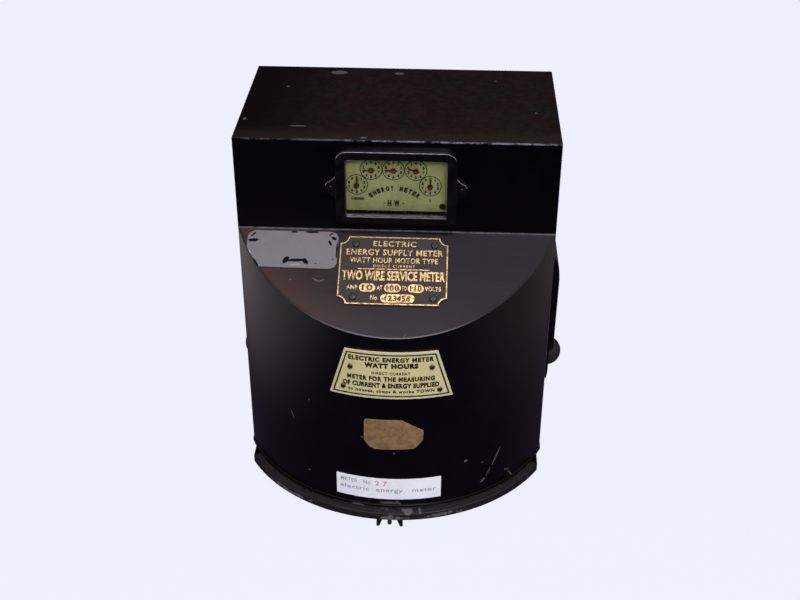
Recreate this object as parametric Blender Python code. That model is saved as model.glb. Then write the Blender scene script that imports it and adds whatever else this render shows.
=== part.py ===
"""Commutator-type watt-hour meter of about 1900, wall-hung, under a japanned bell cover.

Frame: metres. The wall is the plane y = 0, the front faces -Y, and z = 0 is the underside of
the base rim. x = 0 is the middle of the meter.
"""
import math

import bmesh
import bpy
from mathutils import Matrix, Vector

# ---- driving dimensions -------------------------------------------------------------------
COVER_WIDTH = 0.260
COVER_TOP = 0.3105
COVER_FOOT = 0.0073
COVER_BACK = -0.001
SHEET = 0.0015
HEAD_FRONT = -0.153
HEAD_HEIGHT = 0.080
SLOPE_DEGREES = 29.7
BARREL_RADIUS = 0.1414
GAP = 0.0003

RIM_OVERHANG = 0.007
RIM_HEIGHT = 0.007
RIM_HALF_WIDTH = 0.1275
BACK_WIDTH = 0.252
BACK_DEPTH = 0.016
HOUSING_TOP = 0.1515
HOUSING_DEPTH = 0.012

WINDOW = (-0.0404, 0.0406, 0.2454, 0.2957)
BEZEL = (-0.0485, 0.0484, 0.2390, 0.3026)
BEZEL_THICK = 0.005
BEZEL_LUG_HEIGHT = 0.2705
BEZEL_LUG_REACH = 0.0085

SHAFT = (0.0, -0.110)
ARMATURE_HEIGHT = 0.165
DISC_HEIGHT = 0.075
DISC_RADIUS = 0.062

ARBOR_PITCH = 0.018
WHEEL_TEETH = 60
PINION_TEETH = 6
WORM_WHEEL_TEETH = 50
WORM_MODULE = 0.0006
WORM_RADIUS = 0.003
DIAL_FRONT = -0.1454
MOVEMENT_BACK = -0.126
TOP_DIAL_HEIGHT = 0.2817
MIDDLE_DIAL_X = -0.0027
DIAL_SCREW = (0.0372, 0.2501)

STUD = (-0.0018, -0.232)

# ---- derived sizes ------------------------------------------------------------------------
SLOPE = math.radians(SLOPE_DEGREES)
HALF_WIDTH = COVER_WIDTH / 2
SLOPE_TOP = COVER_TOP - HEAD_HEIGHT
BARREL_CENTRE = HEAD_FRONT + math.sqrt(BARREL_RADIUS ** 2 - HALF_WIDTH ** 2)
GEAR_MODULE = 2 * ARBOR_PITCH / (WHEEL_TEETH + PINION_TEETH)
WHEEL_PLANES = (-0.1409, -0.1374, -0.1339)
OUTER_DIAL_SHIFT = (0.0117, -0.0137)
WORM_PITCH = math.pi * WORM_MODULE
WORM_WHEEL_RADIUS = WORM_MODULE * WORM_WHEEL_TEETH / 2

COLOURS = {
    "black japan": ((0.012, 0.011, 0.012), 0.32, 0.0),
    "cast iron": ((0.022, 0.021, 0.022), 0.62, 0.2),
    "lead grey paint": ((0.20, 0.20, 0.21), 0.5, 0.0),
    "brass": ((0.62, 0.42, 0.16), 0.34, 1.0),
    "steel": ((0.42, 0.42, 0.43), 0.35, 1.0),
    "dark screw": ((0.08, 0.075, 0.07), 0.45, 0.9),
    "glass": ((0.85, 0.90, 0.88), 0.05, 0.0),
    "dial cream": ((0.70, 0.72, 0.50), 0.55, 0.0),
    "ivory enamel": ((0.74, 0.70, 0.46), 0.5, 0.0),
    "brown paper": ((0.30, 0.19, 0.10), 0.8, 0.0),
    "white paper": ((0.80, 0.82, 0.86), 0.8, 0.0),
    "copper": ((0.70, 0.30, 0.16), 0.35, 1.0),
    "silver": ((0.72, 0.71, 0.68), 0.3, 1.0),
    "cotton winding": ((0.16, 0.09, 0.05), 0.85, 0.0),
    "magnet steel": ((0.10, 0.03, 0.025), 0.5, 0.3),
    "fibre": ((0.12, 0.03, 0.02), 0.7, 0.0),
    "red pointer": ((0.25, 0.03, 0.03), 0.4, 0.3),
    "rubber": ((0.02, 0.02, 0.02), 0.8, 0.0),
}


# ---- mesh helpers -------------------------------------------------------------------------
def material(name):
    existing = bpy.data.materials.get(name)
    if existing:
        return existing
    colour, roughness, metallic = COLOURS[name]
    made = bpy.data.materials.new(name)
    made.use_nodes = True
    shader = made.node_tree.nodes["Principled BSDF"]
    shader.inputs["Base Color"].default_value = (*colour, 1.0)
    shader.inputs["Roughness"].default_value = roughness
    shader.inputs["Metallic"].default_value = metallic
    return made


def face_out(shape, mesh):
    """Turn every face of a closed shape outwards and store it in the mesh."""
    bmesh.ops.recalc_face_normals(shape, faces=shape.faces)
    if shape.calc_volume(signed=True) < 0:
        bmesh.ops.reverse_faces(shape, faces=shape.faces)
    shape.to_mesh(mesh)
    shape.free()


def solid(name, points, faces, look):
    """A closed body from its corners and faces, facing out."""
    mesh = bpy.data.meshes.new(name)
    mesh.from_pydata([tuple(p) for p in points], [], faces)
    shape = bmesh.new()
    shape.from_mesh(mesh)
    face_out(shape, mesh)
    mesh.materials.append(material(look))
    made = bpy.data.objects.new(name, mesh)
    bpy.context.scene.collection.objects.link(made)
    return made


def lift(axis, flat, height):
    """A point of a flat outline, raised along an axis."""
    u, v = flat
    if axis == "X":
        return (height, u, v)
    if axis == "Y":
        return (u, height, v)
    return (u, v, height)


def prism(name, outline, low, high, look, axis="Z"):
    count = len(outline)
    points = [lift(axis, p, low) for p in outline] + [lift(axis, p, high) for p in outline]
    faces = [tuple(range(count)), tuple(range(count, 2 * count))]
    for i in range(count):
        j = (i + 1) % count
        faces.append((i, j, count + j, count + i))
    return solid(name, points, faces, look)


def box(name, x, y, z, look):
    outline = [(x[0], y[0]), (x[1], y[0]), (x[1], y[1]), (x[0], y[1])]
    return prism(name, outline, z[0], z[1], look)


def lathe(name, profile, look, centre=(0, 0, 0), axis="Z", segments=24):
    """A turned body. A profile that ends on the axis is solid, any other is a ring."""
    on_axis = profile[0][0] == 0
    points = []
    rings = []
    for radius, height in profile:
        if radius == 0:
            rings.append([len(points)] * segments)
            points.append(lift(axis, (0, 0), height))
            continue
        rings.append(list(range(len(points), len(points) + segments)))
        for i in range(segments):
            angle = math.tau * i / segments
            points.append(lift(axis, (radius * math.cos(angle), radius * math.sin(angle)), height))
    faces = []
    pairs = list(zip(rings, rings[1:]))
    if not on_axis:
        pairs.append((rings[-1], rings[0]))
    for lower, upper in pairs:
        for i in range(segments):
            j = (i + 1) % segments
            corners = dict.fromkeys((lower[i], lower[j], upper[j], upper[i]))
            faces.append(tuple(corners))
    made = solid(name, points, faces, look)
    made.data.transform(Matrix.Translation(Vector(centre)))
    return made


def disc_outline(u, v, radius, steps=16):
    angles = (math.tau * i / steps for i in range(steps))
    return [(u + radius * math.cos(a), v + radius * math.sin(a)) for a in angles]


def rod(name, radius, low, high, look, centre=(0, 0, 0), axis="Z", segments=16):
    made = prism(name, disc_outline(0, 0, radius, segments), low, high, look, axis)
    made.data.transform(Matrix.Translation(Vector(centre)))
    return made


def combine(target, operation, *tools):
    """Apply a Boolean with each tool in turn, and drop the tools."""
    for tool in tools:
        step = target.modifiers.new(operation, "BOOLEAN")
        step.operation = operation
        step.solver = "EXACT"
        step.object = tool
    bpy.context.view_layer.update()
    graph = bpy.context.evaluated_depsgraph_get()
    result = bpy.data.meshes.new_from_object(target.evaluated_get(graph))
    target.modifiers.clear()
    target.data = result
    for tool in tools:
        bpy.data.objects.remove(tool)
    return target


def cut(target, *tools):
    return combine(target, "DIFFERENCE", *tools)


def fuse(target, *tools):
    return combine(target, "UNION", *tools)


def rectangle(x, y):
    return [(x[0], y[0]), (x[1], y[0]), (x[1], y[1]), (x[0], y[1])]


def rounded(x, y, radii, steps=4):
    """A rectangle with its own radius at each corner, from the lower left, anticlockwise."""
    corners = ((x[0], y[0], 1, 1), (x[1], y[0], -1, 1), (x[1], y[1], -1, -1), (x[0], y[1], 1, -1))
    outline = []
    for turn, (corner, radius) in enumerate(zip(corners, radii)):
        centre_u = corner[0] + corner[2] * radius
        centre_v = corner[1] + corner[3] * radius
        for step in range(steps + 1):
            angle = math.pi + (turn + step / steps) * math.pi / 2
            outline.append((centre_u + radius * math.cos(angle), centre_v + radius * math.sin(angle)))
    return outline


# ---- casing -------------------------------------------------------------------------------
def plan_outline(offset=0.0, back=COVER_BACK, steps=48):
    """Plan of the cover: straight sides and a barrel front, grown by an offset."""
    half = HALF_WIDTH + offset
    radius = BARREL_RADIUS + offset
    start = math.asin(half / radius)
    outline = [(half, back)]
    for i in range(steps + 1):
        angle = start - 2 * start * i / steps
        outline.append((radius * math.sin(angle), BARREL_CENTRE - radius * math.cos(angle)))
    outline.append((-half, back))
    return outline


def rim_outline(back, steps=48):
    """Plan of the base rim: an arc in front of the barrel, cut straight at the sides."""
    radius = BARREL_RADIUS + RIM_OVERHANG
    start = math.asin(RIM_HALF_WIDTH / radius)
    angles = (start - 2 * start * i / steps for i in range(steps + 1))
    arc = [(radius * math.sin(a), BARREL_CENTRE - radius * math.cos(a)) for a in angles]
    return [(RIM_HALF_WIDTH, back)] + arc + [(-RIM_HALF_WIDTH, back)]


def slope_height(y):
    """Height of the sloping panel at a given depth."""
    return SLOPE_TOP - (HEAD_FRONT - y) * math.tan(SLOPE)


def side_profile(inset, back, low):
    """Side view of the cover, moved inwards by an inset."""
    front = BARREL_CENTRE - BARREL_RADIUS - 0.02
    face = HEAD_FRONT + inset
    drop = inset / math.cos(SLOPE)
    top = COVER_TOP - inset
    return [(back, low), (front, low), (front, slope_height(front) - drop),
            (face, slope_height(face) - drop), (face, top), (back, top)]


def make_cover():
    """Bell cover of sheet metal: head, sloping panel, barrel and rolled foot, open at the back."""
    cover = prism("cover", plan_outline(), COVER_FOOT, COVER_TOP + 0.01, "black japan")
    wide = HALF_WIDTH + 0.02
    shape = prism("side", side_profile(0, COVER_BACK, 0), -wide, wide, "black japan", "X")
    combine(cover, "INTERSECT", shape)
    bead = prism("bead", plan_outline(0.0008), 0.0083, 0.0112, "black japan")
    fuse(cover, bead)
    room = prism("room", plan_outline(-SHEET, 0.01), -0.01, COVER_TOP + 0.01, "black japan")
    inner = prism("inner", side_profile(SHEET, 0.01, -0.01), -wide, wide, "black japan", "X")
    combine(room, "INTERSECT", inner)
    window = prism("window", rectangle(WINDOW[:2], WINDOW[2:]), HEAD_FRONT - 0.01,
                   HEAD_FRONT + 0.01, "black japan", "Y")
    notches = [box("notch", sorted((side * 0.12, side * 0.14)), (-HOUSING_DEPTH, 0.01),
                   (-0.01, HOUSING_TOP + 0.001), "black japan") for side in (-1, 1)]
    cut(cover, room, window, *notches)
    x, y = STUD
    lug = box("lug", (x - 0.008, x + 0.008), (y - 0.0056, y + 0.006), (0.0095, 0.0170), "black japan")
    fuse(cover, lug)
    return cut(cover, rod("hole", 0.0024, 0, 0.03, "black japan", (x, y, 0)))


def make_bottom_shelf():
    """Half-round base with a rim under the cover, a locating lip and the bearing boss."""
    shelf = prism("bottom_shelf", rim_outline(-0.0163), 0, RIM_HEIGHT, "cast iron")
    lip = prism("lip", plan_outline(-SHEET - 0.0025, -0.0170), 0.004, 0.0140, "cast iron")
    lip_room = prism("lip_room", plan_outline(-SHEET - 0.0055, -0.0200), RIM_HEIGHT, 0.02, "cast iron")
    boss = rod("boss", 0.012, 0.004, 0.0240, "cast iron", (*SHAFT, 0))
    fuse(shelf, lip)
    cut(shelf, lip_room)
    fuse(shelf, boss)
    x, y = STUD
    notch = box("notch", (x - 0.013, x + 0.013), (y - 0.02, y + 0.02), (RIM_HEIGHT, 0.02), "cast iron")
    bore = rod("bore", 0.0053, -0.01, 0.03, "cast iron", (*SHAFT, 0))
    stud_hole = rod("stud_hole", 0.0030, -0.01, 0.03, "cast iron", (x, y, 0))
    return cut(shelf, notch, bore, stud_hole)


def make_back_plate():
    """Cast back: a shallow tray with a flat wall face and a keyhole to hang it by."""
    half = BACK_WIDTH / 2
    back = box("back_plate", (-half, half), (-BACK_DEPTH, 0), (-0.0040, 0.3080), "cast iron")
    tray = box("tray", (-half + 0.006, half - 0.006), (-0.05, -0.008), (0.014, 0.302), "cast iron")
    pad = box("pad", (-0.064, 0.064), (-BACK_DEPTH, -0.006), (0.098, 0.300), "cast iron")
    cut(back, tray)
    fuse(back, pad)
    head = rod("head", 0.007, -0.004, 0.01, "cast iron", (0, 0, 0.276), "Y")
    slot = box("slot", (-0.0035, 0.0035), (-0.004, 0.01), (0.276, 0.290), "cast iron")
    return cut(back, fuse(head, slot))


def make_terminal_cover(side):
    """Side housing over the line terminals, round at the top and open underneath."""
    top = HOUSING_TOP
    outline = [(0.0265, 0.013), (0.0415, 0.013), (0.0424, 0.020), (0.0426, 0.0462), (0.0462, 0.0480),
               (0.0464, 0.075), (0.0466, 0.110), (0.0468, top - 0.026), (0.0460, top - 0.0160),
               (0.0450, top - 0.0110), (0.0430, top - 0.0055), (0.0400, top - 0.0020), (0.0360, top),
               (0.0265, top)]
    outline = [(side * (u + 0.1), v) for u, v in outline]
    name = "terminal_cover_right" if side > 0 else "terminal_cover_left"
    housing = prism(name, outline, -0.050, -0.0002, "black japan", "Y")
    clear = box("clear", sorted((side * 0.12, side * 0.1324)), (-0.06, -HOUSING_DEPTH + GAP), (0, 0.2), "black japan")
    hollow = box("hollow", sorted((side * 0.1343, side * 0.1400)), (-0.0475, -0.0030), (0, 0.138),
                 "black japan")
    return cut(housing, clear, hollow)


def make_cable_bush(side):
    """Round bush that guides the line cable into the foot of a side housing."""
    name = "cable_bush_right" if side > 0 else "cable_bush_left"
    steps = 10
    centre = 0.0315
    radius = 0.0130
    half_height = 0.0142
    profile = [(0, centre - half_height)]
    for i in range(1, steps):
        angle = math.pi * i / steps - math.pi / 2
        profile.append((radius * math.cos(angle), centre + half_height * math.sin(angle)))
    profile.append((0, centre + half_height))
    bush = lathe(name, profile, "rubber", (side * 0.1426, -0.028, 0), "Z", 24)
    keep_out = box("keep_out", sorted((side * 0.10, side * 0.1430)), (-0.06, 0.01), (0, 0.07), "rubber")
    return cut(bush, keep_out)


# ---- window and plates --------------------------------------------------------------------
def make_bezel():
    """Raised frame round the window, with a screw lug at each side."""
    face = HEAD_FRONT - GAP
    left, right, low, high = BEZEL
    bezel = prism("window_bezel", rounded((left, right), (low, high), (0.003, 0.003, 0.009, 0.009)),
                  face - BEZEL_THICK, face, "black japan", "Y")
    flare = [(-0.0040, 0.0125), (0, 0.0105), (0.0016, 0.0082), (0.0042, 0.0060), (0.0068, 0.0046),
             (BEZEL_LUG_REACH, 0.0020)]
    flare += [(reach, -rise) for reach, rise in reversed(flare)]
    for side, edge in ((-1, left), (1, right)):
        outline = [(edge + side * reach, BEZEL_LUG_HEIGHT + rise) for reach, rise in flare]
        fuse(bezel, prism("lug", outline, face - BEZEL_THICK + 0.0008, face, "black japan", "Y"))
    opening = prism("opening", rounded(WINDOW[:2], WINDOW[2:], (0.001, 0.001, 0.0018, 0.0018)),
                    face - 0.01, face + 0.01, "black japan", "Y")
    return cut(bezel, opening)


def make_screw(name, radius, height, look, slot_turn=0.0):
    """Slotted screw head, lying flat on the plane z = 0 of its own frame."""
    profile = [(0, 0), (radius, 0), (radius, 0.45 * height), (0.8 * radius, 0.85 * height), (0, height)]
    screw = lathe(name, profile, look, segments=16)
    slot = box("slot", (-2 * radius, 2 * radius), (-0.16 * radius, 0.16 * radius),
               (0.55 * height, 2 * height), look)
    slot.data.transform(Matrix.Rotation(slot_turn, 4, "Z"))
    return cut(screw, slot)


def place(thing, frame):
    """Move a mesh from its own frame into the meter's frame."""
    thing.data.transform(frame)
    return thing


def front_frame(x, z, y):
    """Frame on a vertical face that looks to the front: its z axis is -Y."""
    turn = Matrix(((1, 0, 0), (0, 0, -1), (0, 1, 0))).to_4x4()
    return Matrix.Translation((x, y, z)) @ turn


def slope_frame(x, down, out=GAP):
    """Frame on the sloping panel, a distance down from its top edge."""
    turn = Matrix(((1, 0, 0), (0, math.cos(SLOPE), -math.sin(SLOPE)),
                   (0, math.sin(SLOPE), math.cos(SLOPE)))).to_4x4()
    place_on = Matrix.Translation((x, HEAD_FRONT, SLOPE_TOP)) @ turn
    return place_on @ Matrix.Translation((0, -down, out))


def barrel_frame(arc, z, out=GAP):
    """Frame on the barrel, an arc length right of the middle: its z axis points outwards."""
    angle = arc / BARREL_RADIUS
    radius = BARREL_RADIUS + out
    spot = (radius * math.sin(angle), BARREL_CENTRE - radius * math.cos(angle), z)
    return Matrix.Translation(spot) @ Matrix.Rotation(angle, 4, "Z") @ front_frame(0, 0, 0)


def wrap_on_barrel(name, outline, thickness, look, columns=10):
    """A thin plate bent round the barrel, from an outline in arc length and height."""
    plate = prism(name, outline, 0, thickness, look)
    shape = bmesh.new()
    shape.from_mesh(plate.data)
    arcs = [p[0] for p in outline]
    for i in range(1, columns):
        arc = min(arcs) + (max(arcs) - min(arcs)) * i / columns
        parts = shape.verts[:] + shape.edges[:] + shape.faces[:]
        bmesh.ops.bisect_plane(shape, geom=parts, plane_co=(arc, 0, 0), plane_no=(1, 0, 0))
    for corner in shape.verts:
        arc, z, out = corner.co
        corner.co = barrel_frame(arc, z, GAP + out).translation
    face_out(shape, plate.data)
    return plate


def make_nameplate():
    """Brass plate on the slope, its corners cut away in quarter circles."""
    half_wide = 0.0438
    half_tall = 0.0312
    bite = 0.0066
    outline = []
    for turn, (u, v) in enumerate(((1, 1), (-1, 1), (-1, -1), (1, -1))):
        for step in range(5):
            angle = math.radians(-90 - 22.5 * step + 90 * turn)
            outline.append((u * half_wide + bite * math.cos(angle), v * half_tall + bite * math.sin(angle)))
    plate = prism("nameplate", outline, 0, 0.0014, "brass")
    return place(plate, slope_frame(-0.0009, 0.0385))


def make_nameplate_screws():
    screws = []
    for row, down in (("top", 0.0146), ("bottom", 0.0633)):
        for side, x in (("left", -0.0319), ("right", 0.0319)):
            screw = make_screw(f"nameplate_screw_{row}_{side}", 0.0031, 0.0014, "dark screw", 1.45)
            screws.append(place(screw, slope_frame(x, down, 2 * GAP + 0.0014)))
    return screws


def make_patch_label():
    """Thin grey plate at the left of the slope, its outer corner trimmed to the panel's edge."""
    left, right = -0.1210, -0.0466
    top, bottom = 0.0030, 0.0378

    def edge(x):
        return (math.sqrt(BARREL_RADIUS ** 2 - x ** 2) - (BARREL_CENTRE - HEAD_FRONT)) / math.cos(SLOPE)

    outline = [(left + 0.0060, -top), (left + 0.0016, -top - 0.0024), (left, -0.0085)]
    for i in range(6):
        x = left + i * 0.0022
        outline.append((x, -min(edge(x) - 0.0012, bottom)))
    outline += [(right - 0.006, -bottom), (right - 0.0018, -bottom + 0.0018), (right, -bottom + 0.006),
                (right, -top - 0.006), (right - 0.0018, -top - 0.0018), (right - 0.006, -top)]
    plate = prism("patch_label", outline, 0, 0.0005, "lead grey paint")
    return place(plate, slope_frame(0, 0))


def make_maker_plate():
    """Ivory plate on the barrel, wider at the foot."""
    high, low = COVER_TOP - 0.1410, COVER_TOP - 0.1862
    outline = [(-0.0507, low), (0.0503, low), (0.0372, high), (-0.0373, high)]
    return wrap_on_barrel("maker_plate", outline, 0.0012, "ivory enamel")


def make_maker_screws():
    spots = {"top_left": (-0.0324, 0.1535), "top_right": (0.0324, 0.1547),
             "bottom_left": (-0.0386, 0.1334), "bottom_right": (0.0389, 0.1323)}
    screws = []
    for name, (arc, z) in spots.items():
        screw = make_screw(f"maker_plate_screw_{name}", 0.0022, 0.0013, "steel", 0.4)
        screws.append(place(screw, barrel_frame(arc, z, 2 * GAP + 0.0014)))
    return screws


def make_paper_labels():
    brown = [(-0.0223, -0.2104), (-0.0213, -0.2090), (-0.0193, -0.2084), (0.0085, -0.2082),
             (0.0235, -0.2176), (0.0261, -0.2192), (0.0266, -0.2214), (0.0260, -0.2294),
             (0.0205, -0.2366), (0.0175, -0.2380), (-0.0135, -0.2388), (-0.0177, -0.2368),
             (-0.0217, -0.2314), (-0.0225, -0.2294)]
    brown = [(arc, COVER_TOP + down) for arc, down in brown]
    white = rectangle((-0.0474, 0.0423), (0.0179, 0.0401))
    return [wrap_on_barrel("calibration_label", brown, 0.0004, "brown paper", 6),
            wrap_on_barrel("inventory_label", white, 0.0004, "white paper", 10)]


def make_glass():
    wide = (WINDOW[0] - 0.003, WINDOW[1] + 0.003)
    tall = (WINDOW[2] - 0.003, WINDOW[3] + 0.003)
    back = HEAD_FRONT + SHEET + GAP
    return prism("window_glass", rectangle(wide, tall), back, back + 0.0015, "glass", "Y")


def make_bezel_screws():
    face = HEAD_FRONT - 2 * GAP - BEZEL_THICK + 0.0008
    spots = {"left": BEZEL[0] - 0.0040, "right": BEZEL[1] + 0.0040}
    return [place(make_screw(f"bezel_screw_{side}", 0.0022, 0.0014, "dark screw", 1.2),
                  front_frame(x, BEZEL_LUG_HEIGHT, face)) for side, x in spots.items()]


# ---- cover fastening ----------------------------------------------------------------------
def make_cover_stud():
    x, y = STUD
    profile = [(0, -0.0165), (0.0012, -0.0165), (0.0019, -0.0157), (0.0019, 0.0173),
               (0.0045, 0.0173), (0.0045, 0.0200), (0, 0.0200)]
    return lathe("cover_stud", profile, "steel", (x, y, 0), "Z", 16)


def make_washer():
    profile = [(0.0024, -0.0013), (0.0060, -0.0013), (0.0060, -GAP), (0.0024, -GAP)]
    return lathe("wing_nut_washer", profile, "steel", (*STUD, 0), "Z", 20)


def make_wing_nut():
    """Hub with two drooping wings that bolts the cover down from below the rim."""
    profile = [(0.0005, -0.0085), (0.0040, -0.0085), (0.0048, -0.0016), (0.0005, -0.0016)]
    nut = lathe("wing_nut", profile, "cast iron", (*STUD, 0), "Z", 20)
    for side in (-1, 1):
        wing = [(0.0030, -0.0030), (0.0090, -0.0040), (0.0112, -0.0062), (0.0115, -0.0175),
                (0.0104, -0.0190), (0.0088, -0.0180), (0.0064, -0.0112), (0.0030, -0.0080)]
        outline = [(side * u, v) for u, v in wing]
        blade = prism("wing", outline, -0.0009, 0.0009, "cast iron", "Y")
        fuse(nut, place(blade, Matrix.Translation((*STUD, 0))))
    return cut(nut, rod("thread", 0.0022, -0.03, 0.01, "cast iron", (*STUD, 0)))


# ---- motor element ------------------------------------------------------------------------
def worm_surface(low, turns, steps_per_turn=8, segments=16):
    """Profile rings of a single right-hand thread, and the plain shaft below and above it."""
    root = WORM_RADIUS - 1.25 * WORM_MODULE
    crest = WORM_RADIUS + WORM_MODULE
    wheel_height = worm_wheel_centre()[1]
    points = []
    rows = turns * steps_per_turn + 1
    for row in range(rows):
        height = low + WORM_PITCH * row / steps_per_turn
        for i in range(segments):
            turn = i / segments
            phase = ((height - wheel_height) / WORM_PITCH - turn) % 1.0
            rise = max(0.0, min(1.0, (0.32 - abs(phase - 0.5)) / 0.16))
            if row in (0, rows - 1):
                rise = 0.0
            radius = root + rise * (crest - root)
            angle = math.tau * turn
            points.append((radius * math.cos(angle), radius * math.sin(angle), height))
    return points, rows, segments


def make_rotor_shaft():
    """Steel shaft with the worm cut near its top and a pivot at its foot."""
    x, y = SHAFT
    turns = 6
    low = worm_wheel_centre()[1] - turns * WORM_PITCH / 2
    high = low + turns * WORM_PITCH
    points, rows, segments = worm_surface(low, turns)

    def ring(radius, height):
        angles = (math.tau * i / segments for i in range(segments))
        return [(radius * math.cos(a), radius * math.sin(a), height) for a in angles]

    stem = [(0.0006, 0.0500), (0.0018, 0.0520), (0.0018, low - 0.001), (WORM_RADIUS - 1.25 * WORM_MODULE,
            low - 0.0005)]
    head = [(WORM_RADIUS - 1.25 * WORM_MODULE, high + 0.0005), (0.0018, high + 0.001), (0.0018, 0.2745)]
    below = [p for radius, height in stem for p in ring(radius, height)]
    above = [p for radius, height in head for p in ring(radius, height)]
    points = below + points + above
    rows += len(stem) + len(head)
    faces = [tuple(range(segments)), tuple(range((rows - 1) * segments, rows * segments))]
    for row in range(rows - 1):
        for i in range(segments):
            j = (i + 1) % segments
            faces.append((row * segments + i, row * segments + j,
                          (row + 1) * segments + j, (row + 1) * segments + i))
    points = [(px + x, py + y, pz) for px, py, pz in points]
    return solid("rotor_shaft", points, faces, "steel")


def make_armature():
    """Hollow ball winding on the shaft, drawn as one closed ring."""
    bore = 0.0021
    profile = [(bore, -0.0260), (0.0150, -0.0300), (0.0260, -0.0255), (0.0330, -0.0150),
               (0.0345, 0.0), (0.0330, 0.0150), (0.0260, 0.0255), (0.0150, 0.0300), (bore, 0.0260)]
    return lathe("armature", profile, "cotton winding", (*SHAFT, ARMATURE_HEIGHT), "Z", 32)


def make_commutator():
    profile = [(0.0021, 0.2230), (0.0050, 0.2230), (0.0050, 0.2330), (0.0040, 0.2350), (0.0021, 0.2350)]
    return lathe("commutator", profile, "silver", (*SHAFT, 0), "Z", 24)


def make_brake_disc():
    profile = [(0.0060, -0.0007), (DISC_RADIUS, -0.0007), (DISC_RADIUS, 0.0007), (0.0060, 0.0007)]
    return lathe("brake_disc", profile, "copper", (*SHAFT, DISC_HEIGHT), "Z", 64)


def make_disc_hub():
    profile = [(0.0021, -0.0060), (0.0050, -0.0060), (0.0057, -0.0010), (0.0057, 0.0010),
               (0.0050, 0.0060), (0.0021, 0.0060)]
    return lathe("disc_hub", profile, "brass", (*SHAFT, DISC_HEIGHT), "Z", 24)


def make_field_coil(side):
    """Series coil of heavy copper beside the armature, its axis across the meter."""
    name = "field_coil_right" if side > 0 else "field_coil_left"
    profile = [(0.0400, 0.020), (0.0415, 0.018), (0.0525, 0.018), (0.0540, 0.020),
               (0.0540, 0.040), (0.0525, 0.042), (0.0415, 0.042), (0.0400, 0.040)]
    profile = [(radius, side * along) for radius, along in profile]
    return lathe(name, profile, "cotton winding", (0, SHAFT[1], ARMATURE_HEIGHT), "X", 40)


def make_mechanism_frame():
    """Cast frame on the back plate that carries coils, top bearing, brushes and register."""
    look = "cast iron"
    face = -BACK_DEPTH - GAP
    frame = box("mechanism_frame", (-0.062, 0.062), (-0.022, face), (0.104, 0.296), look)
    rail = box("rail", (-0.100, 0.100), (-0.024, face - 0.001), (0.106, 0.118), look)
    top_arm = box("top_arm", (-0.009, 0.009), (-0.118, -0.020), (0.2850, 0.2950), look)
    fuse(frame, rail, top_arm)
    cut(frame, rod("seat", 0.0033, 0.2, 0.4, look, (*SHAFT, 0)))
    cut(frame, box("gate", (-0.040, 0.040), (-0.03, 0), (0.126, 0.212), look))
    for side in (-1, 1):
        x = sorted((side * 0.0515, side * 0.0585))
        arm = box("register_arm", x, (-0.1257, -0.020), (0.262, 0.272), look)
        x = sorted((side * 0.020, side * 0.040))
        saddle = box("saddle", x, (-0.082, -0.021), (0.108, 0.122), look)
        coil = rod("coil", 0.0543, -0.06, 0.06, look, (0, SHAFT[1], ARMATURE_HEIGHT), "X", 40)
        fuse(frame, arm, cut(saddle, coil))
    brush_arm = box("brush_arm", (-0.006, 0.006), (-0.0700, -0.021), (0.2240, 0.2320), look)
    low_ear = box("low_ear", (-0.097, -0.083), (-0.062, -0.023), (0.1085, 0.1150), look)
    return fuse(frame, brush_arm, low_ear)


def make_resistance_spool():
    """Series resistance of the armature circuit, wound on an upright former."""
    profile = [(0, 0.1153), (0.0130, 0.1153), (0.0130, 0.1190), (0.0105, 0.1200), (0.0105, 0.1850),
               (0.0130, 0.1860), (0.0130, 0.1897), (0, 0.1897)]
    return lathe("resistance_spool", profile, "cotton winding", (-0.090, -0.046, 0), "Z", 24)


def make_brush_gear():
    x, y = SHAFT
    block = box("brush_holder", (x - 0.014, x + 0.014), (-0.0790, -0.0703), (0.2220, 0.2340), "fibre")
    brushes = []
    for name, side in (("brush_left", -1), ("brush_right", 1)):
        path = [(0.0055, y - 0.004), (0.0055, y + 0.004), (0.0100, y + 0.020), (0.0100, -0.0793),
                (0.0107, -0.0793), (0.0107, y + 0.0198), (0.0062, y + 0.0038), (0.0062, y - 0.004)]
        outline = [(x + side * u, v) for u, v in path]
        brushes.append(prism(name, outline, 0.2255, 0.2305, "silver"))
    return [block] + brushes


def make_bearings():
    """Adjustable jewel screw under the shaft, and the guide pin above it."""
    jewel = [(0, 0.0040), (0.0050, 0.0040), (0.0050, 0.0470), (0.0032, 0.0490), (0.0014, 0.0490),
             (0, 0.0480)]
    guide = [(0, 0.2748), (0.0009, 0.2748), (0.0009, 0.2800), (0.0030, 0.2820), (0.0030, 0.2990),
             (0.0050, 0.2990), (0.0050, 0.3030), (0, 0.3030)]
    return [lathe("jewel_screw", jewel, "brass", (*SHAFT, 0)),
            lathe("upper_bearing", guide, "brass", (*SHAFT, 0), segments=16)]


def make_brake_magnet(name, turn):
    """C-shaped permanent magnet with the disc in its gap, turned about the shaft."""
    near, far = 0.036, 0.086
    low, high = DISC_HEIGHT - 0.0247, DISC_HEIGHT + 0.0247
    outline = [(near, DISC_HEIGHT - 0.0035), (near, low + 0.006), (near + 0.006, low), (far - 0.010, low),
               (far, low + 0.010), (far, high - 0.010), (far - 0.010, high), (near + 0.006, high),
               (near, high - 0.006), (near, DISC_HEIGHT + 0.0035), (near + 0.016, DISC_HEIGHT + 0.0035),
               (near + 0.019, high - 0.011), (far - 0.012, high - 0.011), (far - 0.011, DISC_HEIGHT + 0.010),
               (far - 0.011, DISC_HEIGHT - 0.010), (far - 0.012, low + 0.011), (near + 0.019, low + 0.011),
               (near + 0.016, DISC_HEIGHT - 0.0035)]
    magnet = prism(name, outline, -0.009, 0.009, "magnet steel", "Y")
    spin = Matrix.Translation((*SHAFT, 0)) @ Matrix.Rotation(turn, 4, "Z")
    return place(magnet, spin)


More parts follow.
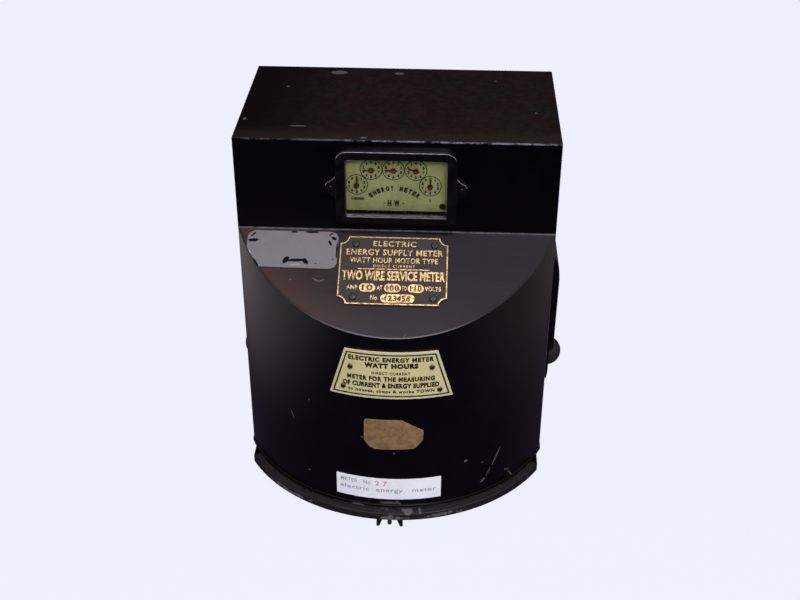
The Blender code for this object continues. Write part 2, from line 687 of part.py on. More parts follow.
def make_magnet_bracket():
    """Spider on the shelf that carries the three magnets below the disc."""
    x, y = SHAFT
    top = DISC_HEIGHT - 0.0250
    look = "cast iron"
    bracket = box("magnet_bracket", (x - 0.084, x + 0.084), (y - 0.008, y + 0.008), (top - 0.006, top), look)
    front = box("front_arm", (x - 0.008, x + 0.008), (y - 0.084, y), (top - 0.006, top), look)
    hub = rod("hub", 0.016, top - 0.006, top, look, (x, y, 0), segments=24)
    legs = [box("leg", (x + u - 0.006, x + u + 0.006), (y + v - 0.006, y + v + 0.006),
                (RIM_HEIGHT + GAP, top - 0.002), look) for u, v in ((-0.076, 0), (0.076, 0), (0, -0.076))]
    fuse(bracket, front, hub, *legs)
    return cut(bracket, rod("pass", 0.0065, 0, 0.1, look, (x, y, 0), segments=24))


# ---- register -----------------------------------------------------------------------------
def dial_centres():
    """Dial centres from the highest decade at the left to the units at the right."""
    top = [(MIDDLE_DIAL_X + i * ARBOR_PITCH, TOP_DIAL_HEIGHT) for i in (-1, 0, 1)]
    across, down = OUTER_DIAL_SHIFT
    return [(top[0][0] - across, TOP_DIAL_HEIGHT + down)] + top + [(top[2][0] + across, TOP_DIAL_HEIGHT + down)]


def worm_wheel_centre():
    """The worm wheel's arbor: beside the worm, one arbor pitch from the units arbor."""
    x = SHAFT[0] + WORM_RADIUS + WORM_WHEEL_RADIUS
    units_x, units_z = dial_centres()[-1]
    return x, units_z - math.sqrt(ARBOR_PITCH ** 2 - (units_x - x) ** 2)


def gear_outline(centre, teeth, module, facing, tooth_faces=True, rise=0.8, fall=1.1):
    """Straight-sided teeth, with a tooth or a gap turned to a given direction."""
    pitch_radius = teeth * module / 2
    tip = pitch_radius + rise * module
    root = pitch_radius - fall * module
    step = math.tau / teeth
    start = facing if tooth_faces else facing + step / 2
    half = 0.36 * step / 2
    outline = []
    for i in range(teeth):
        for radius, spread in ((root, -1.25), (tip, -0.5), (tip, 0.5), (root, 1.25)):
            angle = start + i * step + spread * half
            outline.append((centre[0] + radius * math.cos(angle), centre[1] + radius * math.sin(angle)))
    return outline


def direction(start, end):
    return math.atan2(end[1] - start[1], end[0] - start[0])


def gear(outline, plane, thickness):
    return prism("gear", outline, plane - thickness / 2, plane + thickness / 2, "brass", "Y")


def make_worm_arbor(next_centre):
    """Worm wheel behind the register and the pinion that drives the units wheel."""
    centre = worm_wheel_centre()
    x, z = centre
    arbor = rod("worm_wheel_arbor", 0.0008, -0.1430, -0.1075, "brass", (x, 0, z), "Y", 12)
    wheel = gear_outline(centre, WORM_WHEEL_TEETH, WORM_MODULE, math.pi, rise=1.0, fall=1.3)
    pinion = gear_outline(centre, PINION_TEETH, GEAR_MODULE, direction(centre, next_centre), False)
    collar = rod("collar", 0.0030, -0.1125, -0.1080, "brass", (x, 0, z), "Y", 12)
    return fuse(arbor, collar, gear(wheel, SHAFT[1], 0.0012), gear(pinion, WHEEL_PLANES[0], 0.0024))


def make_dial_arbor(number, centre, driver, follower, plane, next_plane):
    """One decade of the train: a wheel turned by the driver and a pinion for the follower."""
    x, z = centre
    arbor = rod(f"dial_arbor_{number}", 0.0008, -0.1467, -0.1245, "brass", (x, 0, z), "Y", 12)
    wheel = gear_outline(centre, WHEEL_TEETH, GEAR_MODULE, direction(centre, driver))
    fuse(arbor, gear(wheel, plane, 0.0012))
    if follower:
        pinion = gear_outline(centre, PINION_TEETH, GEAR_MODULE, direction(centre, follower), False)
        fuse(arbor, gear(pinion, next_plane, 0.0024))
    return arbor


def make_pointer(number, centre, degrees):
    """Pointer with a ring hub, turned clockwise from twelve o'clock."""
    x, z = centre
    front = DIAL_FRONT - 0.0022
    pointer = prism(f"pointer_{number}", disc_outline(0, 0, 0.0024, 16), front, front + 0.0006,
                    "red pointer", "Y")
    arm = [(0.00060, 0.0016), (0.00060, 0.0045), (0.0010, 0.0052), (0.0, 0.0074), (-0.0010, 0.0052),
           (-0.00060, 0.0045), (-0.00060, 0.0016)]
    tail = [(0.00060, -0.0016), (0.00060, -0.0031), (-0.00060, -0.0031), (-0.00060, -0.0016)]
    fuse(pointer, prism("arm", arm, front, front + 0.0006, "red pointer", "Y"),
         prism("tail", tail, front, front + 0.0006, "red pointer", "Y"))
    cut(pointer, rod("eye", 0.0012, front - 0.01, front + 0.01, "red pointer", (0, 0, 0), "Y", 12))
    turn = Matrix.Rotation(math.radians(degrees), 4, "Y")
    return place(pointer, Matrix.Translation((x, 0, z)) @ turn)


def make_register_train():
    centres = dial_centres()
    makers = [make_worm_arbor(centres[-1])]
    planes = {5: 0, 4: 1, 3: 2, 2: 0, 1: 1}
    for number in range(5, 0, -1):
        driver = worm_wheel_centre() if number == 5 else centres[number]
        follower = centres[number - 2] if number > 1 else None
        plane = WHEEL_PLANES[planes[number]]
        next_plane = WHEEL_PLANES[planes.get(number - 1, 0)]
        makers.append(make_dial_arbor(number, centres[number - 1], driver, follower, plane, next_plane))
    return makers


def make_pointers():
    shown = (4, -92, -87, -70, 2)
    return [make_pointer(i + 1, centre, turn) for i, (centre, turn) in enumerate(zip(dial_centres(), shown))]


def make_movement_frame():
    """Rear plate of the register with four pillars that carry the dial."""
    look = "brass"
    wide, tall = (-0.0590, 0.0590), (0.2400, 0.2985)
    frame = prism("movement_frame", rectangle(wide, tall), MOVEMENT_BACK - 0.0015, MOVEMENT_BACK, look, "Y")
    spots = ((-0.0420, 0.2945), (0.0400, 0.2945), (-0.0385, 0.2475), DIAL_SCREW)
    for x, z in spots:
        fuse(frame, rod("pillar", 0.0018, DIAL_FRONT + 0.0013, MOVEMENT_BACK - 0.001, look, (x, 0, z), "Y", 12))
    for x, z in dial_centres() + [worm_wheel_centre()]:
        cut(frame, rod("pivot_hole", 0.0011, -0.2, 0, look, (x, 0, z), "Y", 12))
    return frame


def make_dial_plate():
    wide, tall = (-0.0450, 0.0450), (0.2449, 0.2978)
    plate = prism("dial_plate", rectangle(wide, tall), DIAL_FRONT, DIAL_FRONT + 0.0010, "dial cream", "Y")
    for x, z in dial_centres():
        cut(plate, rod("pivot_hole", 0.0011, -0.2, 0, "dial cream", (x, 0, z), "Y", 12))
    return plate


def make_dial_screw():
    screw = make_screw("dial_screw", 0.0027, 0.0011, "dark screw", 0.9)
    return place(screw, front_frame(*DIAL_SCREW, DIAL_FRONT - GAP))


# ---- assembly -----------------------------------------------------------------------------
def hang_on(name, pivot, pieces, parent=None):
    """Parent pieces to an empty that stands on their joint axis."""
    empty = bpy.data.objects.new(name, None)
    bpy.context.scene.collection.objects.link(empty)
    empty.location = pivot
    if parent:
        empty.parent = parent
        empty.location = Vector(pivot) - parent.location
    for piece in pieces:
        piece.data.transform(Matrix.Translation(-Vector(pivot)))
        piece.parent = empty
    return empty


def build_base():
    make_back_plate()
    make_bottom_shelf()
    for side in (-1, 1):
        make_terminal_cover(side)
        make_cable_bush(side)
        make_field_coil(side)
    make_mechanism_frame()
    make_resistance_spool()
    make_brush_gear()
    make_bearings()
    make_brake_magnet("brake_magnet_right", 0)
    make_brake_magnet("brake_magnet_left", math.pi)
    make_brake_magnet("brake_magnet_front", -math.pi / 2)
    make_magnet_bracket()
    make_movement_frame()
    make_dial_plate()
    make_dial_screw()


def build_cover():
    pieces = [make_cover(), make_bezel(), make_glass(), make_nameplate(), make_patch_label(),
              make_maker_plate(), make_cover_stud()]
    pieces += make_bezel_screws() + make_nameplate_screws() + make_maker_screws() + make_paper_labels()
    hang_on("cover_lift", (0, HEAD_FRONT, 0), pieces)


def build_fastening():
    travel = hang_on("washer_travel", (*STUD, 0), [make_washer()])
    hang_on("nut_turn", (*STUD, -0.004), [make_wing_nut()], travel)


def build_rotor():
    pieces = [make_rotor_shaft(), make_armature(), make_commutator(), make_brake_disc(), make_disc_hub()]
    hang_on("rotor_spin", (*SHAFT, ARMATURE_HEIGHT), pieces)


def build_register():
    arbors = make_register_train()
    pointers = make_pointers()
    x, z = worm_wheel_centre()
    hang_on("worm_wheel_turn", (x, SHAFT[1], z), arbors[:1])
    for number, arbor in zip(range(5, 0, -1), arbors[1:]):
        x, z = dial_centres()[number - 1]
        hang_on(f"dial_{number}_turn", (x, DIAL_FRONT, z), [arbor, pointers[number - 1]])


def main():
    for thing in list(bpy.data.objects):
        bpy.data.objects.remove(thing)
    build_base()
    build_cover()
    build_fastening()
    build_rotor()
    build_register()


main()
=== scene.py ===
"""Looks of the wall-hung commutator watt-hour meter, built round its CAD frame.

Frame: metres. The wall is the plane y = 0, the front faces -Y, z = 0 is the underside of the rim.
"""
import math

import bmesh
import bpy
from mathutils import Matrix, Vector


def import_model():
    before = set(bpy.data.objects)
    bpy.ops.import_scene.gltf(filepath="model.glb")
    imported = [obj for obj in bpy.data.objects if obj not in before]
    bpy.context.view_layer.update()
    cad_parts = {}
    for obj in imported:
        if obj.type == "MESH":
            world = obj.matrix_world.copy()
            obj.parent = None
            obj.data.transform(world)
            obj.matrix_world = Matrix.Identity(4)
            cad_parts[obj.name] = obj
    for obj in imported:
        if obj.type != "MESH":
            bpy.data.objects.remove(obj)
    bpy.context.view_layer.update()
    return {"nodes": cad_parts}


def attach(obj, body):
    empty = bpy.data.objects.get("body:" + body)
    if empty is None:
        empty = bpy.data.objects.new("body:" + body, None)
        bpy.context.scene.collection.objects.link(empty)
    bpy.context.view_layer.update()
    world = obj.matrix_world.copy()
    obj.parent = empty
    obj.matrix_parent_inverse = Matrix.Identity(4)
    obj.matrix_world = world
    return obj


# ---- driving dimensions, as in the part ---------------------------------------------------
COVER_TOP = 0.3105
HALF_WIDTH = 0.13
HEAD_FRONT = -0.153
SLOPE_TOP = 0.2305
SLOPE = math.radians(29.7)
SLOPE_NORMAL = (0, -math.sin(SLOPE), math.cos(SLOPE))
BARREL_RADIUS = 0.1414
BARREL_CENTRE = HEAD_FRONT + math.sqrt(BARREL_RADIUS ** 2 - HALF_WIDTH ** 2)
GAP = 0.0003
SHAFT = (0.0, -0.11)
ARMATURE_HEIGHT = 0.165
DISC_HEIGHT = 0.075
DIAL_FRONT = -0.1454
DIAL_PITCH = 0.018
TOP_DIAL_HEIGHT = 0.2817
MIDDLE_DIAL_X = -0.0027
OUTER_DIAL_SHIFT = (0.0117, -0.0137)
DIAL_RING = 0.0088
FIGURE_RING = 0.0064
WORD_CENTRE = (-0.0019, 0.2345)
WORD_RADIUS = 0.0309
WORD_ARC = math.radians(76.5)
WINDOW = (-0.0404, 0.0406, 0.2454, 0.2957)

NAMEPLATE_CENTRE = (-0.0009, 0.0385)
NAMEPLATE_HALF = (0.0438, 0.0312)
NAMEPLATE_BITE = 0.0066
NAMEPLATE_THICK = 0.0014
RELIEF = 0.00035
MAKER_LOW = 0.1243
MAKER_HIGH = 0.1695
MAKER_FOOT = (-0.0507, 0.0503)
MAKER_HEAD = (-0.0373, 0.0372)
MAKER_THICK = 0.0012
LABEL_THICK = 0.0004
PRINT = 0.00006
WIRE = 0.0013
HEAVY_WIRE = 0.0018

# ---- colours that several looks share, linear ----------------------------------------------
JAPAN = ((0.0003, 0.0002, 0.0008), (0.0014, 0.001, 0.0018))
BARE = (0.075, 0.07, 0.078)
# Pale lilac of the cover's light lines: partly bare worn japan, partly painted highlight.
WORN_AND_HIGHLIT_LINE = (0.19, 0.175, 0.215)
CHIP_DEPTH = 0.0012
FOOT_CHIP_DEPTH = 0.003
PLATE_CHIP_DEPTH = 0.002
CASTING_CHIP_DEPTH = 0.009

# ---- view and light -----------------------------------------------------------------------
CAMERA_PLACE = (0.0426, -1.038, 0.721)
CAMERA_PITCH = math.radians(32.17)
CAMERA_YAW = math.radians(2.55)
CAMERA_ROLL = math.radians(0.16)
LENS = 55.7
FLOOR_HEIGHT = -0.0195
FLOOR_REACH = 6.0
BACKDROP = (0.88, 0.87, 0.985)


def put(name, data):
    """A new object in the scene."""
    made = bpy.data.objects.new(name, data)
    bpy.context.scene.collection.objects.link(made)
    return made


def add_piece(name, mesh, look, body):
    """A piece of the meter with one look, riding on a body."""
    mesh.materials.clear()
    mesh.materials.append(look)
    made = put(name, mesh)
    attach(made, body)


def evaluated_mesh(holder):
    """A new mesh of an object as it would be drawn."""
    return bpy.data.meshes.new_from_object(holder.evaluated_get(bpy.context.evaluated_depsgraph_get()))


# ---- node materials -----------------------------------------------------------------------
class Recipe:
    """A node material or sky, built from short calls. Places are in the meter's frame, in metres."""

    def __init__(self, name, kind="materials", place="Object"):
        self.owner = getattr(bpy.data, kind).new(name)
        self.owner.use_nodes = True
        self.nodes = self.owner.node_tree.nodes
        self.links = self.owner.node_tree.links
        self.place = self.node("TexCoord").outputs[place]

    def node(self, kind, *values, **settings):
        """A node with its first inputs fed in order, and any input named with a capital."""
        made = self.nodes.new("ShaderNode" + kind)
        for key, value in settings.items():
            if key[0].isupper():
                self.feed(made.inputs[key.replace("_", " ")], value)
            else:
                setattr(made, key, value)
        for socket, value in zip(made.inputs, values):
            self.feed(socket, value)
        return made

    def feed(self, socket, value):
        """Join an output to a socket, or set the socket to a number or a colour."""
        if isinstance(value, bpy.types.NodeSocket):
            self.links.new(value, socket)
        elif socket.type == "RGBA":
            socket.default_value = (*value, 1.0)
        else:
            socket.default_value = value

    def maths(self, operation, first, second=0.0):
        return self.node("Math", first, second, operation=operation).outputs[0]

    def times(self, first, second):
        return self.maths("MULTIPLY", first, second)

    def plus(self, first, second):
        return self.maths("ADD", first, second)

    def less(self, first, second):
        return self.maths("SUBTRACT", first, second)

    def most(self, first, *others):
        """The greatest of some values."""
        for other in others:
            first = self.maths("MAXIMUM", first, other)
        return first

    def off(self, value, middle=0.0):
        """How far a value is from a middle one."""
        return self.maths("ABSOLUTE", self.less(value, middle) if middle else value)

    def reach(self, x, y):
        """How far a place is from the z axis."""
        return self.maths("SQRT", self.plus(self.times(x, x), self.times(y, y)))

    def span(self, value, low, high, start=0.0, end=1.0):
        """A value's way from low to high, as a smooth step from start to end."""
        return self.node("MapRange", value, low, high, start, end, interpolation_type="SMOOTHSTEP").outputs[0]

    def mix(self, factor, first, second):
        """A colour between two, which are the mixing node's seventh and eighth inputs."""
        made = self.node("Mix", factor, data_type="RGBA")
        self.feed(made.inputs[6], first)
        self.feed(made.inputs[7], second)
        return made.outputs[2]

    def mapped(self, centre=(0, 0, 0), turn=(0, 0, 0), size=(1, 1, 1)):
        """Places seen from a frame with its own centre, turn and size."""
        return self.node("Mapping", self.place, centre, turn, size, vector_type="TEXTURE").outputs[0]

    def noise(self, grain, detail=3.0, rough=0.55, stretch=(1, 1, 1), shift=0.0):
        """Soft noise around 0.5 with a grain given in metres."""
        place = self.mapped((shift, shift, shift), size=stretch)
        made = self.node("TexNoise", Vector=place, Scale=1.0 / grain, Detail=detail, Roughness=rough)
        return made.outputs[0]

    def axes(self, vector=None):
        return self.node("SeparateXYZ", vector or self.place).outputs

    def vector(self, operation, *values):
        return self.node("VectorMath", *values, operation=operation).outputs

    def facing(self, direction, low, high):
        """1 where the surface looks along a direction."""
        normal = self.node("NewGeometry").outputs["Normal"]
        return self.span(self.vector("DOT_PRODUCT", normal, direction)["Value"], low, high)

    def edges(self, radius, low=0.02, high=0.25):
        """1 along sharp edges, 0 on open faces."""
        soft = self.node("Bevel", radius, samples=6).outputs[0]
        flat = self.node("NewGeometry").outputs["True Normal"]
        return self.span(self.less(1.0, self.vector("DOT_PRODUCT", soft, flat)["Value"]), low, high)

    def marks(self, rows, ragged=0.5, grain=0.002):
        """1 inside any of some ragged ellipsoids, each given as (frame, size)."""
        nearest = None
        for frame_of, size in rows:
            within = self.mapped(frame_of.translation, frame_of.to_euler(), size)
            reach = self.vector("LENGTH", within)["Value"]
            nearest = reach if nearest is None else self.maths("MINIMUM", nearest, reach)
        rough = self.times(self.noise(grain, 4.0), ragged * 2)
        return self.span(self.plus(nearest, rough), 1.0 + ragged, 0.85 + ragged)

    def bump(self, height, depth, strength=1.0):
        """Raise the surface by depth metres where height is 1."""
        made = self.node("Bump", Strength=strength, Distance=depth, Height=height)
        self.feed(self.nodes["Principled BSDF"].inputs["Normal"], made.outputs[0])

    def finish(self, colour, roughness, metallic=0.0, specular=0.5):
        surface = self.nodes["Principled BSDF"].inputs
        for name, value in (("Base Color", colour), ("Roughness", roughness), ("Metallic", metallic),
                            ("Specular IOR Level", specular)):
            self.feed(surface[name], value)
        return self.owner

    def blend(self, share, first, second):
        """A shader that goes from one to another as share goes from 0 to 1."""
        return self.node("MixShader", share, first.outputs[0], second.outputs[0])

    def finish_as(self, shader):
        """End with a shader made in the recipe, in place of the usual one."""
        output = next(n for n in self.nodes if n.bl_idname.startswith("ShaderNodeOutput"))
        self.nodes.remove(output.inputs["Surface"].links[0].from_node)
        self.feed(output.inputs["Surface"], shader.outputs[0])
        return self.owner


# ---- frames on the meter's faces ----------------------------------------------------------
def front_frame(x, z, y):
    """Frame on a vertical face that looks to the front: its z axis is -Y."""
    turn = Matrix(((1, 0, 0), (0, 0, -1), (0, 1, 0))).to_4x4()
    return Matrix.Translation((x, y, z)) @ turn


def slope_frame(x, down, out=0.0):
    """Frame on the sloping panel, a distance down from its top edge."""
    turn = Matrix(((1, 0, 0), (0, math.cos(SLOPE), -math.sin(SLOPE)),
                   (0, math.sin(SLOPE), math.cos(SLOPE)))).to_4x4()
    return Matrix.Translation((x, HEAD_FRONT, SLOPE_TOP)) @ turn @ Matrix.Translation((0, -down, out))


def barrel_frame(arc, z, out=0.0):
    """Frame on the barrel, an arc length right of the middle: its z axis points outwards."""
    angle = arc / BARREL_RADIUS
    radius = BARREL_RADIUS + out
    spot = (radius * math.sin(angle), BARREL_CENTRE - radius * math.cos(angle), z)
    return Matrix.Translation(spot) @ Matrix.Rotation(angle, 4, "Z") @ front_frame(0, 0, 0)


def turned(frame_of, degrees):
    """A frame turned about its own z axis."""
    return frame_of @ Matrix.Rotation(math.radians(degrees), 4, "Z")


def top_frame(x, y):
    return Matrix.Translation((x, y, COVER_TOP))


# ---- finishes -----------------------------------------------------------------------------
def marks_on(frame_at, rows, depth):
    """(frame, size) rows of marks from (place, place, turn in degrees, half-length, half-width)."""
    return [(turned(frame_at(u, v), turn), (long, wide, depth)) for u, v, turn, long, wide in rows]


def chips_on_cover():
    """Bare light-grey chips and scratches in the cover's japan; those at the foot are on its bead."""
    top = (
        (-0.057, -0.013, 0, 0.0075, 0.0042), (-0.004, -0.013, 0, 0.0045, 0.0026),
        (-0.08, -0.128, 0, 0.0075, 0.0012), (-0.026, -0.148, 0, 0.003, 0.0016),
        (-0.125, -0.116, 0, 0.0016, 0.0024), (0.08, -0.026, 0, 0.0016, 0.001),
        (0.112, -0.093, 0, 0.0014, 0.0012), (-0.098, -0.047, 0, 0.0016, 0.0012),
    )
    barrel = (
        (0.0645, 0.05, 35, 0.002, 0.0013), (0.0955, 0.043, 62, 0.0105, 0.0008),
        (0.0875, 0.029, 60, 0.005, 0.0006), (0.082, 0.0225, 40, 0.003, 0.0012),
        (0.109, 0.0215, -25, 0.0034, 0.0008), (0.1135, 0.015, -60, 0.005, 0.0007),
        (0.0809, 0.0425, 0, 0.0009, 0.0009), (-0.091, 0.0845, -68, 0.0044, 0.0006),
        (-0.0748, 0.0313, 0, 0.001, 0.001), (-0.0721, 0.1069, 0, 0.0008, 0.0008),
        (-0.0245, 0.0821, 0, 0.0009, 0.0009), (0.0024, 0.0672, 0, 0.0011, 0.0007),
    )
    foot = (
        (-0.0285, 0.0092, -2, 0.006, 0.0014), (-0.0015, 0.0135, 0, 0.0092, 0.0013),
        (0.0062, 0.0138, -48, 0.0036, 0.001),
    )
    slope = (
        (-0.0831, 0.0479, 0, 0.0011, 0.0009), (-0.063, 0.0477, -30, 0.0034, 0.0007),
        (-0.06, 0.0487, 0, 0.0026, 0.0008), (-0.0572, 0.0479, 25, 0.002, 0.0006),
        (0.0105, 0.0955, 70, 0.0022, 0.0004),
    )
    return (marks_on(top_frame, top, CHIP_DEPTH) + marks_on(barrel_frame, barrel, CHIP_DEPTH)
            + marks_on(barrel_frame, foot, FOOT_CHIP_DEPTH) + marks_on(slope_frame, slope, CHIP_DEPTH))


def line_on_cover(recipe, start, end, width):
    """1 on a straight line between two places on the cover, fading out at a width."""
    along = (Vector(end) - Vector(start)).normalized()
    away = recipe.vector("SUBTRACT", recipe.place, start)[0]
    across = recipe.vector("CROSS_PRODUCT", away, along)[0]
    return recipe.span(recipe.vector("LENGTH", across)["Value"], width, width * 0.5)


def worn_creases(recipe):
    """Broken lines along the head's front edges and the barrel's sides, 0 to 1: partly bare worn japan,
    partly painted highlight where these edges catch the light.
    """
    def line(ends, width):
        start, end = ((side * HALF_WIDTH, HEAD_FRONT, height) for side, height in ends)
        return line_on_cover(recipe, start, end, width)

    x, y, z = recipe.axes()
    broken = recipe.noise(0.007, 5.0, 0.75)
    # Painted highlight along the head's top front edge, weaker towards the left.
    ridge = recipe.times(line(((-1, COVER_TOP), (1, COVER_TOP)), 0.0013), recipe.span(broken, 0.4, 0.58))
    ridge = recipe.times(ridge, recipe.span(x, -0.1, 0.03, 0.25, 1.0))
    foot = line(((-1, SLOPE_TOP), (1, SLOPE_TOP)), 0.001)
    foot = recipe.times(foot, recipe.span(broken, 0.35, 0.6, 0.15, 0.55))
    lines = recipe.most(ridge, foot)
    # Painted highlight down the barrel's side creases, stronger on the right side.
    for side, share in ((1, 0.6), (-1, 0.2)):
        crease = recipe.times(line(((side, 0), (side, 0.3)), 0.0011), recipe.span(z, 0.225, 0.215))
        lines = recipe.most(lines, recipe.times(crease, share))
    return lines


def slope_rim(recipe, width):
    """1 along the curved lower edge of the sloping panel."""
    x, y, z = recipe.axes(recipe.mapped((0, BARREL_CENTRE, 0)))
    return recipe.span(recipe.reach(x, y), BARREL_RADIUS - width, BARREL_RADIUS)


def on_top_look(recipe, fine, mottle):
    """Brown-black of the cover's top, blacker at the left and paler towards the front."""
    x, y, z = recipe.axes()
    grain = recipe.span(fine, 0.4, 0.62)
    reddish = recipe.mix(grain, (0.0092, 0.0036, 0.0034), (0.015, 0.007, 0.0066))
    greenish = recipe.mix(grain, (0.007, 0.0045, 0.004), (0.011, 0.008, 0.007))
    brown = recipe.mix(recipe.span(mottle, 0.42, 0.6), reddish, greenish)
    brown = recipe.mix(recipe.span(x, -0.125, -0.03, 0.92, 0.0), brown, (0.001, 0.0002, 0.0004))
    return recipe.mix(recipe.span(y, -0.125, -0.15, 0.0, 0.6), brown, (0.019, 0.0145, 0.0115))


def on_slope_look(recipe, brushed):
    """Dust and painted light on the sloping panel: warm at the left, cool at the right, with a painted
    highlight above its lower edge and painted shade right along that edge at the sides.
    """
    x, y, z = recipe.axes()
    aside = recipe.off(x)
    strokes = recipe.span(brushed, 0.3, 0.7)
    warm = recipe.mix(strokes, (0.011, 0.0048, 0.0044), (0.022, 0.0115, 0.0105))
    cool = recipe.mix(strokes, (0.004, 0.0022, 0.005), (0.009, 0.0068, 0.01))
    dust_and_painted_light = recipe.mix(recipe.span(x, -0.11, 0.03), warm, cool)
    # Painted highlight, orange, in a broad band above the left part of the slope's lower edge.
    left_rim_highlight = recipe.times(slope_rim(recipe, 0.03), recipe.span(x, 0.01, -0.06))
    dust_and_painted_light = recipe.mix(left_rim_highlight, dust_and_painted_light, (0.034, 0.018, 0.013))
    # Painted highlight, pale lilac, in the middle of the slope above its lower edge.
    middle = recipe.times(recipe.span(aside, 0.095, 0.02), recipe.span(z, 0.21, 0.165))
    dust_and_painted_light = recipe.mix(recipe.times(middle, 0.85), dust_and_painted_light, (0.028, 0.022, 0.029))
    # Painted shade in a thin band along the slope's lower edge, towards both sides.
    shade = recipe.times(slope_rim(recipe, 0.0034), recipe.span(aside, 0.045, 0.08))
    return recipe.mix(recipe.times(shade, 0.85), dust_and_painted_light, (0.002, 0.0008, 0.002))


def japan_look():
    """Old black japan on sheet metal: brown-black on top, satin on the slope, glossy on the barrel, with worn
    chips and light lines that are partly wear and partly painted highlight along its edges and foot.
    """
    recipe = Recipe("black_japan_cover")
    x, y, z = recipe.axes()
    top = recipe.facing((0, 0, 1), 0.95, 0.99)
    slope = recipe.facing(SLOPE_NORMAL, 0.97, 0.995)
    fine = recipe.noise(0.007, 5.0, 0.7)
    mottle = recipe.noise(0.022, 4.0, 0.6, shift=0.3)
    brushed = recipe.noise(0.004, 4.0, 0.6, (9.0, 1.0, 1.0), 0.1)
    black = recipe.mix(recipe.span(mottle, 0.4, 0.65), (0.0, 0.0, 0.0003), (0.0008, 0.0004, 0.0011))
    colour = recipe.mix(top, black, on_top_look(recipe, fine, mottle))
    colour = recipe.mix(slope, colour, on_slope_look(recipe, brushed))
    chips = recipe.marks(chips_on_cover(), 0.4, 0.0015)
    wear = recipe.times(recipe.edges(0.001, 0.06, 0.3), recipe.span(fine, 0.56, 0.7))
    chipped = recipe.most(chips, recipe.times(wear, recipe.span(z, 0.012, 0.02)))
    # Painted highlight, broken, along the cover's foot just above the rim.
    foot = recipe.times(recipe.span(z, 0.0088, 0.008), recipe.span(fine, 0.35, 0.55, 0.25, 0.85))
    # Painted highlight along the slope's curved lower edge, strongest in the middle.
    slope_edge_highlight = recipe.times(slope, slope_rim(recipe, 0.0016))
    slope_edge_highlight = recipe.times(slope_edge_highlight, recipe.span(recipe.off(x), 0.08, 0.02, 0.0, 0.9))
    # All the light lines: wear together with painted highlights.
    lines = recipe.most(worn_creases(recipe), slope_edge_highlight, foot)
    colour = recipe.mix(chipped, colour, BARE)
    colour = recipe.mix(lines, colour, WORN_AND_HIGHLIT_LINE)
    roughness = recipe.plus(recipe.times(top, 0.22), recipe.times(slope, 0.2))
    streaks = recipe.times(slope, recipe.span(brushed, 0.2, 0.8, -0.06, 0.06))
    roughness = recipe.plus(recipe.plus(roughness, 0.28), streaks)
    roughness = recipe.plus(roughness, recipe.times(recipe.most(chipped, lines), 0.25))
    grain = recipe.plus(recipe.noise(0.0012, 3.0), recipe.times(mottle, 1.5))
    recipe.bump(recipe.less(grain, recipe.times(chips, 1.5)), 0.00006, 0.6)
    gloss = recipe.less(recipe.less(0.5, recipe.times(slope, 0.31)), recipe.times(top, 0.34))
    return recipe.finish(colour, roughness, specular=gloss)


def worn_japan_look():
    """The same japan on small castings and pressings, with its edges worn to grey."""
    recipe = Recipe("black_japan_small")
    mottle = recipe.noise(0.012, 4.0, 0.6)
    colour = recipe.mix(mottle, *JAPAN)
    wear = recipe.times(recipe.edges(0.0008, 0.05, 0.25),
                        recipe.span(recipe.noise(0.004, 5.0, 0.7, shift=0.7), 0.46, 0.6))
    colour = recipe.mix(wear, colour, (0.11, 0.1, 0.12))
    recipe.bump(recipe.noise(0.001, 3.0), 0.00005, 0.6)
    return recipe.finish(colour, recipe.span(mottle, 0.3, 0.7, 0.26, 0.4))


def bezel_look():
    """Black japan, with painted highlights on its upward faces and rounded upper edges, and pale grey on the
    sides of the opening that is partly worn paint and partly painted light.
    """
    recipe = Recipe("black_japan_bezel")
    x, y, z = recipe.axes()
    left, right, bottom, top = WINDOW
    within = []
    for place, low, high in ((x, left, right), (z, bottom, top)):
        half = (high - low) / 2
        within.append(recipe.span(recipe.off(place, (low + high) / 2), half + 0.0012, half + 0.0008))
    sideways = recipe.facing((0, -1, 0), 0.9, 0.5)
    mottle = recipe.noise(0.006, 4.0, 0.6)
    broken = recipe.span(recipe.noise(0.004, 5.0, 0.7, shift=0.7), 0.3, 0.55)
    # Painted highlight, broken, on faces that look upwards.
    upward_highlight = recipe.times(recipe.facing((0, 0, 1), 0.35, 0.75), broken)
    colour = recipe.mix(upward_highlight, recipe.mix(mottle, *JAPAN), (0.012, 0.01, 0.015))
    # Painted glint along the rounded top edge and the rounded shoulders, broken by noise.
    sides = [recipe.facing((side, -0.7, 0.5), 0.93, 0.97) for side in (-0.5, 0.5)]
    glint = recipe.times(recipe.most(recipe.facing((0, -0.62, 0.78), 0.88, 0.95), *sides), broken)
    colour = recipe.mix(glint, colour, (0.42, 0.39, 0.46))
    # Pale grey on the opening's sides: partly worn paint, partly painted light caught by the sill.
    pale = recipe.mix(recipe.span(mottle, 0.42, 0.54), (0.022, 0.022, 0.024), (0.07, 0.072, 0.078))
    colour = recipe.mix(recipe.times(recipe.times(*within), sideways), colour, pale)
    recipe.bump(recipe.noise(0.001, 3.0), 0.00005, 0.6)
    return recipe.finish(colour, recipe.span(mottle, 0.3, 0.7, 0.3, 0.42))


